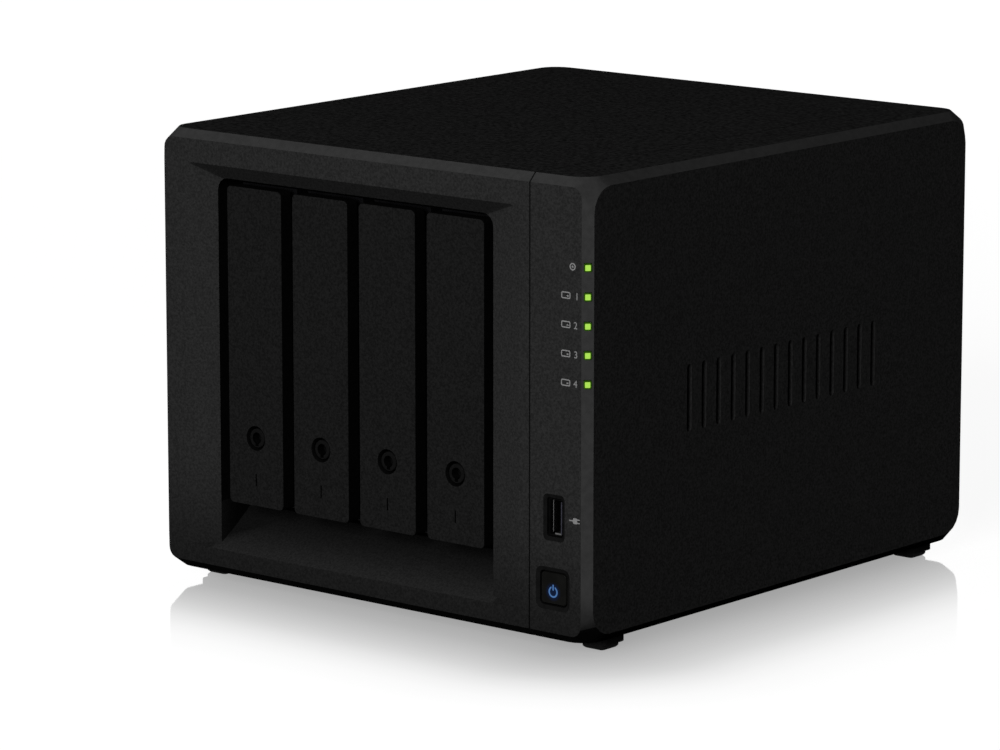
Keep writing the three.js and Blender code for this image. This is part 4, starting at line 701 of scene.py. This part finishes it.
def shape_bay(cover):
    """Divides the bay's side walls level with the scoop, rounds the lip and parts the scoop from its ends."""
    pick(cover, "FACE", lambda face: abs(face.normal.x) > 0.95 and in_recess(face.calc_center_median() / MM))
    bpy.ops.mesh.bisect(plane_co=(0, 0, WALL_Z * MM), plane_no=(0, 0, 1))
    round_edges(cover, lip_edge, 1.4, 4)
    for end in SCOOP_ENDS:
        pick(cover, "FACE", lambda face: face.normal.z > 0.15 and in_scoop(face.calc_center_median() / MM))
        bpy.ops.mesh.bisect(plane_co=(end * MM, 0, 0), plane_no=(1, 0, 0))
    rest()


def dress_cover(node, side):
    """A cover's own shape, trimmed and smooth-shaded, with a finish for each kind of face; many of these finishes
    paint shade, and some paint light and highlight. Later ones win.
    """
    cover = whole(node)
    trim_ribs(cover, side)
    if node == "left_cover":
        shape_bay(cover)
    shade(cover, 24, flows, recess_outline)
    deliver(cover, "case", "shell",
            [grain_and_foot_shade, cover_bevel, cover_shaded, dish_abs, painted_shade_abs, scoop_abs, scoop_end_abs, side_abs, top_abs],
            node)
    # Painted light that makes the sides a little paler towards the back
    paint(cover, side_abs, lambda at, n: abs(at.x) > SIDE - 0.1 and abs(n.x) > 0.99)
    paint(cover, top_abs, lambda at, n: at.z > TOP - 0.1 and n.z > 0.99)
    # Painted highlight that makes the bevels paler, and painted shade on them near the foot
    paint(cover, cover_bevel, on_bevel)
    # Painted shade, almost black, on the bevels that face down
    paint(cover, painted_shade_abs, lambda at, n: on_bevel(at, n) and n.z < -0.3)
    # Painted shade in the dishes round the socket and the button
    paint(cover, dish_abs, in_dish)
    # Painted shade on the recess faces that lean down
    paint(cover, cover_shaded, lambda at, n: in_recess(at) and n.z < -0.3 and n.y < -0.3)
    # Painted shade in the scoop, darker inwards and towards its left end
    paint(cover, scoop_abs, lambda at, n: in_scoop(at) and n.z > 0.3 and within(at.x, SCOOP_ENDS))
    # Painted shade, almost black, on the recess's side walls and the faces that look down under its top
    paint(cover, painted_shade_abs, lambda at, n: (
        in_recess(at) and abs(n.y) < 0.3 and at.y > -110.4 and (abs(n.x) > 0.5 or n.z < -0.5)))
    # Darker painted shade on the bay's side walls beside the scoop
    paint(cover, scoop_end_abs, lambda at, n: in_recess(at) and abs(n.x) > 0.95 and at.z < WALL_Z)


dress_cover("left_cover", -1)
dress_cover("right_cover", 1)


# ---------------------------------------------------------------- tray fronts and locks

TRAY_X = [middle_of(f"tray_handle_{number}", X) for number in FOUR]
TRAY_FACE, TRAY_BACK = reach("tray_handle_1", Y)[0], -102.9
TRAY_FOOT, TRAY_HEAD = reach("tray_handle_1", Z)
TRAY_HALF = 13
HINGE_Y, HINGE_Z = -103.6, 143.2
LOCK_FACE, LOCK_Z = -107.9, middle_of("tray_lock_1", Z)
LOCK_RADIUS, BORE_RADIUS = 3.5, 3.9
# The engraved stroke below each lock
STROKE_Z = (39.4, 43.8)


def make_tray_front():
    """One tray front in the first bay: rounded corners, hollow back, lock boss and hinge pin."""
    x = TRAY_X[0]
    front = block("tray_front", (x - TRAY_HALF, TRAY_FACE, TRAY_FOOT), (x + TRAY_HALF, TRAY_BACK, TRAY_HEAD))
    round_edges(front, edges_along((0, 1, 0)), 1.8, 6)
    round_edges(front, rim_at(Y, TRAY_FACE), 0.35, 3)
    pick(front, "FACE", faces_to((0, 1, 0)))
    bpy.ops.mesh.inset(thickness=1.5 * MM)
    bpy.ops.mesh.extrude_region_move(TRANSFORM_OT_translate={"value": (0, -3.4 * MM, 0)})
    heel = block("heel", (x - 14, HINGE_Y, HINGE_Z - 2.5), (x + 14, -102, 149))
    pick(heel, "VERT", lambda point: point.co.z < HINGE_Z * MM and point.co.y < TRAY_BACK * MM)
    bpy.ops.transform.translate(value=(0, 0.7 * MM, 0))
    cut(front, heel)
    cut(front, bar("boss", (x, -107.4, LOCK_Z), (x, TRAY_BACK, LOCK_Z), 5.5, 40), "UNION")
    cut(front, bar("pin", (x - 12.2, HINGE_Y, HINGE_Z), (x + 12.2, HINGE_Y, HINGE_Z), 1.0, 20), "UNION")
    cut(front, bar("bore", (x, -109, LOCK_Z), (x, -102, LOCK_Z), BORE_RADIUS, 48))
    cut(front, bar("mouth", (x, -108.9, LOCK_Z), (x, -107.4, LOCK_Z), 4.72, 48, BORE_RADIUS))
    cut(front, block("mark", (x - 0.3, -109, STROKE_Z[0]), (x + 0.3, TRAY_FACE + 0.6, STROKE_Z[1])))
    shade(front, 35)
    return front


def dress_tray_front(front, number, x):
    """Grained on its face, with painted shade on the walls beside the gaps, on its top, in the mark and round the
    lock.
    """
    deliver(front, f"handle_{number}", "tray", [tray_grain, painted_shade_abs], f"tray_handle_{number}")
    # Painted shade on the walls beside the gaps and on the faces that look up
    paint(front, painted_shade_abs, lambda at, n: -0.3 < n.y <= 0.9 or n.z > 0.3)
    # Painted shade in the engraved stroke
    paint(front, painted_shade_abs, lambda at, n: (
        at.y > TRAY_FACE + 0.05 and abs(at.x - x) < 1 and STROKE_Z[0] - 0.4 < at.z < STROKE_Z[1] + 0.4))
    # Painted shade in the mouth and bore round the lock
    paint(front, painted_shade_abs, lambda at, n: (
        at.y > TRAY_FACE + 0.02 and math.hypot(at.x - x, at.z - LOCK_Z) < 4.8 and abs(n.y) < 0.98))


def make_lock():
    """One lock barrel: eased rim, round keyway with the slot below it."""
    x = TRAY_X[0]
    lock = bar("lock_barrel", (x, LOCK_FACE, LOCK_Z), (x, -102.5, LOCK_Z), LOCK_RADIUS, 48)
    round_edges(lock, rim_at(Y, LOCK_FACE), 0.4, 3)
    cut(lock, bar("key", (x, -108, LOCK_Z), (x, -104.5, LOCK_Z), 2.1, 32))
    cut(lock, block("slot", (x - 0.75, -108, LOCK_Z - 2.9), (x + 0.75, -104.5, LOCK_Z)))
    shade(lock, 35)
    return lock


tray_front = make_tray_front()
lock_barrel = make_lock()
for number, x in enumerate(TRAY_X, 1):
    shift = (x - TRAY_X[0], 0, 0)
    if number > 1:
        front_n = copy_at(tray_front, f"tray_front_{number}", shift)
        lock_n = copy_at(lock_barrel, f"lock_barrel_{number}", shift)
    else:
        front_n, lock_n = tray_front, lock_barrel
    dress_tray_front(front_n, number, x)
    deliver(lock_n, f"lock_{number}", "lock", [lock_zinc, painted_shade_abs], f"tray_lock_{number}")
    # Painted shade, almost black, inside the keyway
    paint(lock_n, painted_shade_abs, lambda at, n: (
        at.y > LOCK_FACE + 0.1 and math.hypot(at.x - x, at.z - LOCK_Z) < LOCK_RADIUS - 0.2))


# ---------------------------------------------------------------- power button and front socket

BUTTON_FACE = reach("power_button", Y)[0]


def make_button():
    """The cap, its flange behind the cover and its stem, in one moulding."""
    cap = whole("power_button")
    round_edges(cap, rim_at(Y, BUTTON_FACE), 0.5, 3)
    shade(cap, 35)
    deliver(cap, "power_button", "gloss", button_gloss, "power_button")


def make_standby_mark():
    """The standby sign let into the cap: an open ring with a bar in its gap."""
    x, z = MARK
    face = BUTTON_FACE - 0.02
    ring = bar("standby_ring", (x, face, z), (x, face + 0.12, z), 2.0, 64)
    cut(ring, bar("inside", (x, face - 1, z), (x, face + 1, z), 1.42, 64))
    cut(ring, block("gap", (x - 0.75, face - 1, z + 0.5), (x + 0.75, face + 1, z + 4)))
    stroke = block("standby_bar", (x - 0.28, face, z + 0.5), (x + 0.28, face + 0.12, z + 2.6))
    round_edges(stroke, edges_along((0, 1, 0)), 0.2, 3)
    cut(ring, stroke, "UNION")
    shade(ring, 30)
    deliver(ring, "power_button", "light", standby_blue)


make_button()
make_standby_mark()


def make_socket(node, finish):
    """A USB receptacle: its shell in a finish of its own, and a moulded tongue and floor inside."""
    socket = whole(node)
    low, high = (Vector(corner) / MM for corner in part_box(node))
    soften(socket, 0.12, 2, 60)
    shade(socket, 35)
    deliver(socket, "case", "port", [finish, port_plastic], node)
    inner_x, inner_z = (low.x + 0.5, high.x - 0.5), (low.z + 0.5, high.z - 0.5)
    paint(socket, port_plastic, lambda at, n: within(at.x, inner_x) and within(at.z, inner_z))


make_socket("front_usb_socket", port_plastic)
make_socket("rear_usb_socket", port_nickel)


def make_shell_springs():
    """What shows of the front socket's steel: the spring on its left wall, its floor and its right edge."""
    spring = block("front_socket_spring", (82.2, -108.95, 42.9), (82.55, -106.6, 54.0))
    round_edges(spring, edges_along((0, 0, 1), lambda at: at.x > 82.4), 0.16, 3)
    round_edges(spring, rim_at(Z, 54.0), 0.12, 2)
    floor_strip = block("socket_floor_strip", (84.2, -110.2, 42.3), (87.2, -107.4, 43.0))
    round_edges(floor_strip, rim_at(Z, 43.0), 0.15, 2)
    cut(spring, floor_strip, "UNION")
    shade(spring, 35)
    deliver(spring, "case", "port", shell_steel)
    right_edge = block("front_socket_edge", (86.9, -110.56, 42.7), (87.5, -109.5, 54.1))
    round_edges(right_edge, rim_at(Y, -110.56), 0.15, 2)
    shade(right_edge, 35)
    deliver(right_edge, "case", "port", shell_edge)


make_shell_springs()


# ---------------------------------------------------------------- status lights and labels

# The lights' row on the bevel, with the highest at 136 mm
LIGHT_PLACE = (98.0, -110.0)
LIGHT_Z = [136.0 - 10 * row for row in range(5)]
# The printed signs reach from just in front of the front face to just inside it
INK = (-111.512, -111.46)


def make_status_lens():
    """The lit end of one light rod: a small square pill, flush with the bevel, with a deeper edge."""
    x, y, z = *LIGHT_PLACE, LIGHT_Z[0]
    lens = block("status_lens", (x - 1.38, y - 0.25, z - 1.45), (x + 1.38, y + 0.45, z + 1.45))
    round_edges(lens, edges_along((0, 1, 0)), 0.7, 4)
    pick(lens, "FACE", faces_to((0, -1, 0)))
    bpy.ops.mesh.inset(thickness=0.45 * MM)
    bpy.ops.transform.translate(value=(0, -0.08 * MM, 0))
    bpy.ops.mesh.select_all(action="SELECT")
    bpy.ops.transform.rotate(value=math.radians(-45), orient_axis="Z", orient_type="GLOBAL",
                             center_override=(x * MM, y * MM, z * MM))
    rest()
    shade(lens, 40)
    return lens


def dress_status_lens(lens):
    """Lit on its face, dark green on its edge."""
    deliver(lens, "case", "light", [status_rim, status_green])
    widest = max(lens.data.polygons, key=lambda face: face.area * (face.normal.x > 0.5 and face.normal.y < -0.5))
    widest.material_index = 1


status_lens = make_status_lens()
for row, z in enumerate(LIGHT_Z[1:], 2):
    dress_status_lens(copy_at(status_lens, f"status_lens_{row}", (0, 0, z - LIGHT_Z[0])))
dress_status_lens(status_lens)


# A digit's height as a share of its text's size
DIGIT_SHARE = 0.7


def numeral(text, right, z, height):
    """A printed numeral whose right side and middle are at a place on the front, in millimetres."""
    rest()
    bpy.ops.object.text_add(rotation=(math.pi / 2, 0, 0))
    sign = bpy.context.active_object
    sign.data.body = text
    sign.data.size = height / DIGIT_SHARE * MM
    sign.data.extrude = (INK[1] - INK[0]) / 2 * MM
    sign.data.offset = 0.02 * MM
    bpy.ops.object.convert(target="MESH")
    sign = bpy.context.active_object
    bpy.ops.object.transform_apply(location=True, rotation=True, scale=True)
    xs = [point.co.x / MM for point in sign.data.vertices]
    zs = [point.co.z / MM for point in sign.data.vertices]
    bpy.ops.object.mode_set(mode="EDIT")
    bpy.ops.mesh.select_all(action="SELECT")
    bpy.ops.mesh.remove_doubles(threshold=0.001 * MM)
    bpy.ops.transform.translate(value=(
        (right - max(xs)) * MM, (INK[0] + INK[1]) / 2 * MM, (z - (min(zs) + max(zs)) / 2) * MM))
    rest()
    sign.name = "numeral_" + text
    return sign


def frame_sign(name, low, high, stroke, radius):
    """A printed outline with rounded corners."""
    outline = block(name, (low[0], INK[0], low[1]), (high[0], INK[1], high[1]))
    round_edges(outline, edges_along((0, 1, 0)), radius, 4)
    inner = block("inner", (low[0] + stroke, INK[0] - 1, low[1] + stroke),
                  (high[0] - stroke, INK[1] + 1, high[1] - stroke))
    round_edges(inner, edges_along((0, 1, 0)), max(radius - stroke, 0.1), 3)
    return cut(outline, inner)


def print_labels():
    """Generic signs beside the lights: a dial ring on top, then a drive outline and a plain numeral for each bay."""
    x, z = 92.6, LIGHT_Z[0]
    ring = bar("status_sign", (x, INK[0], z), (x, INK[1], z), 1.3, 48)
    cut(ring, bar("inner", (x, INK[0] - 1, z), (x, INK[1] + 1, z), 0.85, 40))
    cut(ring, bar("dot", (x, INK[0], z), (x, INK[1], z), 0.4, 24), "UNION")
    deliver(ring, "case", "light", label_ink)
    drive = frame_sign("drive_sign", (87.7, LIGHT_Z[1] - 1.2), (91.7, LIGHT_Z[1] + 1.2), 0.42, 0.6)
    lamp_dot = block("drive_dot", (90.1, INK[0], LIGHT_Z[1] - 0.42), (90.9, INK[1], LIGHT_Z[1] + 0.1))
    round_edges(lamp_dot, edges_along((0, 1, 0)), 0.15, 2)
    cut(drive, lamp_dot, "UNION")
    for row in range(1, 5):
        sign = drive if row == 1 else copy_at(drive, f"drive_sign_{row}", (0, 0, LIGHT_Z[row] - LIGHT_Z[1]))
        deliver(sign, "case", "light", label_ink)
        deliver(numeral(str(row), 94.7, LIGHT_Z[row], 2.4), "case", "light", label_ink)


def print_plug_sign():
    """A generic plug beside the front socket: its body, two prongs and the lead."""
    x, z = 94.0, 48.6
    plug = block("plug_sign", (x - 1.0, INK[0], z - 1.0), (x + 0.9, INK[1], z + 1.0))
    round_edges(plug, edges_along((0, 1, 0), lambda at: at.x < x), 0.6, 4)
    for side in (-0.55, 0.55):
        cut(plug, block("prong", (x + 0.8, INK[0], z + side - 0.2), (x + 2.0, INK[1], z + side + 0.2)), "UNION")
    cut(plug, block("lead", (x - 2.6, INK[0], z - 0.22), (x - 0.9, INK[1], z + 0.22)), "UNION")
    deliver(plug, "case", "light", label_ink)


print_labels()
print_plug_sign()


# ---------------------------------------------------------------- rear

# The rear panel's inner and outer face
PANEL = reach("rear_panel", Y)
# The fans' middles, and their grilles: the ring slots' radii, the disc that they are cut from, and the spokes' width
FANS = [(middle_of(fan, X), middle_of(fan, Z)) for fan in ("fan_frame_1", "fan_frame_2")]
GRILLE_RINGS = [(15.0, 19.4), (21.6, 26.0), (28.2, 32.6), (34.8, 39.2)]
GRILLE_RADIUS = 40.6
SPOKE = 3.0
# The screws: how far from a fan's middle, where else, and the size of a head
SCREW_REACH = 41.25
EDGE_SCREWS = [(-91.5, 13.5), (0, 14.0), (91.5, 13.5)]
HEAD_RADIUS, HEAD_HEIGHT = 3.1, 1.7


def grille_cutter(x, z):
    """Four ring slots, broken by four spokes on the diagonals."""
    rings = None
    for inner, outer in GRILLE_RINGS:
        ring = bar("ring", (x, PANEL[0] - 1, z), (x, PANEL[1] + 1, z), outer, 96)
        cut(ring, bar("core", (x, PANEL[0] - 2, z), (x, PANEL[1] + 2, z), inner, 96))
        rings = ring if rings is None else cut(rings, ring, "UNION")
    for turn in (45, -45):
        spoke = block("spoke", (x - 45, PANEL[0] - 2, z - SPOKE / 2), (x + 45, PANEL[1] + 2, z + SPOKE / 2))
        pick(spoke, "FACE", lambda face: True)
        bpy.ops.transform.rotate(value=math.radians(turn), orient_axis="Y", orient_type="GLOBAL",
                                 center_override=(x * MM, PANEL[0] * MM, z * MM))
        rest()
        cut(rings, spoke)
    return rings


def make_rear_panel():
    """The painted sheet with its grilles in true circles."""
    panel = whole("rear_panel")
    for x, z in FANS:
        cut(panel, bar("blank_disc", (x, PANEL[0], z), (x, PANEL[1], z), GRILLE_RADIUS, 96), "UNION")
        cut(panel, grille_cutter(x, z))
    shade(panel, 30)
    deliver(panel, "case", "painted", panel_coat, "rear_panel")


def make_screw(x, z):
    """A pan head screw with a cross recess."""
    head = bar("panel_screw", (x, PANEL[1] - 0.3, z), (x, PANEL[1] + HEAD_HEIGHT, z), HEAD_RADIUS, 32)
    round_edges(head, rim_at(Y, PANEL[1] + HEAD_HEIGHT), 1.1, 4)
    for half_x, half_z in ((0.5, 1.9), (1.9, 0.5)):
        cut(head, block("cross", (x - half_x, PANEL[1] + 0.5, z - half_z), (x + half_x, PANEL[1] + 3, z + half_z)))
    shade(head, 35)
    return head


def drive_screws():
    """One screw modelled and set at each fan's corners and along the panel's edge."""
    places = [(x + u * SCREW_REACH, z + v * SCREW_REACH) for x, z in FANS for u in (-1, 1) for v in (-1, 1)]
    places += EDGE_SCREWS
    first = make_screw(*places[0])
    for count, (x, z) in enumerate(places[1:], 2):
        deliver(copy_at(first, f"panel_screw_{count}", (x - places[0][0], 0, z - places[0][1])),
                "case", "steel", screw_steel)
    deliver(first, "case", "steel", screw_steel)


# The network jacks' heights, their openings' reach across, and the steps between their contacts and their lamps
LAN_MIDDLES = [middle_of(socket, Z) for socket in ("lan_socket_1", "lan_socket_2")]
LAN_MOUTH = (65.3, 76.2)
CONTACT_STEP, LAMP_STEP = 1.02, 10.4


def dress_lan_sockets():
    """Shielded jacks: softened shell, dark inside, eight spring contacts and two lamp windows each."""
    for number, z in enumerate(LAN_MIDDLES, 1):
        node = f"lan_socket_{number}"
        jack = whole(node)
        soften(jack, 0.25, 2, 60)
        shade(jack, 35)
        deliver(jack, "case", "port", [port_nickel, port_plastic], node)
        paint(jack, port_plastic, lambda at, n: at.y < PANEL[1] and within(at.x, LAN_MOUTH) and abs(at.z - z) < 6.3)
    first = bar("lan_contact", (75.7, 108.2, LAN_MIDDLES[0]), (73.0, 101.5, LAN_MIDDLES[0]), 0.22, 12)
    pick(first, "FACE", lambda face: face.normal.y < -0.8)
    bpy.ops.mesh.extrude_region_move(TRANSFORM_OT_translate={"value": (2.3 * MM, -2.5 * MM, 0)})
    rest()
    shade(first, 40)
    count = 0
    for z in LAN_MIDDLES:
        for step in range(8):
            count += 1
            shift = (0, 0, z - LAN_MIDDLES[0] + (step - 3.5) * CONTACT_STEP)
            deliver(copy_at(first, f"lan_contact_{count}", shift), "case", "port", gold)
    bpy.data.objects.remove(first, do_unlink=True)
    window = block("lan_lamp", (76.3, 108.7, LAN_MIDDLES[0] - 6.6), (77.9, 109.34, LAN_MIDDLES[0] - 3.8))
    round_edges(window, rim_at(Y, 109.34), 0.12, 2)
    shade(window, 40)
    for number, (jack, side) in enumerate(((0, 0), (0, LAMP_STEP), (1, 0), (1, LAMP_STEP)), 1):
        shift = (0, 0, LAN_MIDDLES[jack] - LAN_MIDDLES[0] + side)
        deliver(copy_at(window, f"lan_lamp_{number}", shift), "case", "port", lamp_window)
    bpy.data.objects.remove(window, do_unlink=True)


def smooth_copy(node, body, slot, finish, angle=35, rounding=0.0):
    """A node's own shape with smooth shading, and its sharp edges eased where a width is given."""
    piece = whole(node)
    if rounding:
        soften(piece, rounding, 3, 50)
    shade(piece, angle)
    deliver(piece, body, slot, finish, node)
    return piece


make_rear_panel()
drive_screws()
dress_lan_sockets()
for side in (1, 2):
    smooth_copy(f"fan_frame_{side}", "case", "fan", fan_plastic)
    smooth_copy(f"fan_rotor_{side}", f"fan_rotor_{side}", "fan", rotor_plastic)
for end in ("front", "rear"):
    for side in ("left", "right"):
        smooth_copy(f"foot_{end}_{side}", "case", "rubber", foot_rubber, 40, 0.3)

# The middle of the power inlet, whose four pins are plated
INLET = (middle_of("power_inlet", X), middle_of("power_inlet", Z))
inlet = smooth_copy("power_inlet", "case", "port", [port_plastic, port_nickel], 40)
paint(inlet, port_nickel, lambda at, n: (
    math.hypot(at.x - INLET[0], at.z - INLET[1]) < 3.4 and within(at.y, (101.9, 107))))


# ---------------------------------------------------------------- carried-over nodes

def refinish(finish, *names):
    """Gives carried-over CAD nodes their material."""
    for name in names:
        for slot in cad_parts[name].material_slots:
            slot.material = finish


refinish(tray_body_abs, *(f"tray_body_{n}" for n in FOUR))
refinish(clip_plastic, *(f"clip_{side}_{n}" for side in ("lower", "upper") for n in FOUR))
refinish(panel_coat, "drive_cage")
refinish(guide_plastic, "bay_guide_lower", "bay_guide_upper")
refinish(board_lacquer, "backplane_board", "main_board", "front_panel_board", "memory_module")
refinish(port_plastic, "power_switch", "memory_socket", "backplane_socket", "reset_switch", "reset_button",
         *(f"sata_connector_{n}" for n in FOUR))
refinish(sink_alloy, "heat_sink")
refinish(cell_steel, "clock_battery")
refinish(guide_acrylic, "status_light_guide")
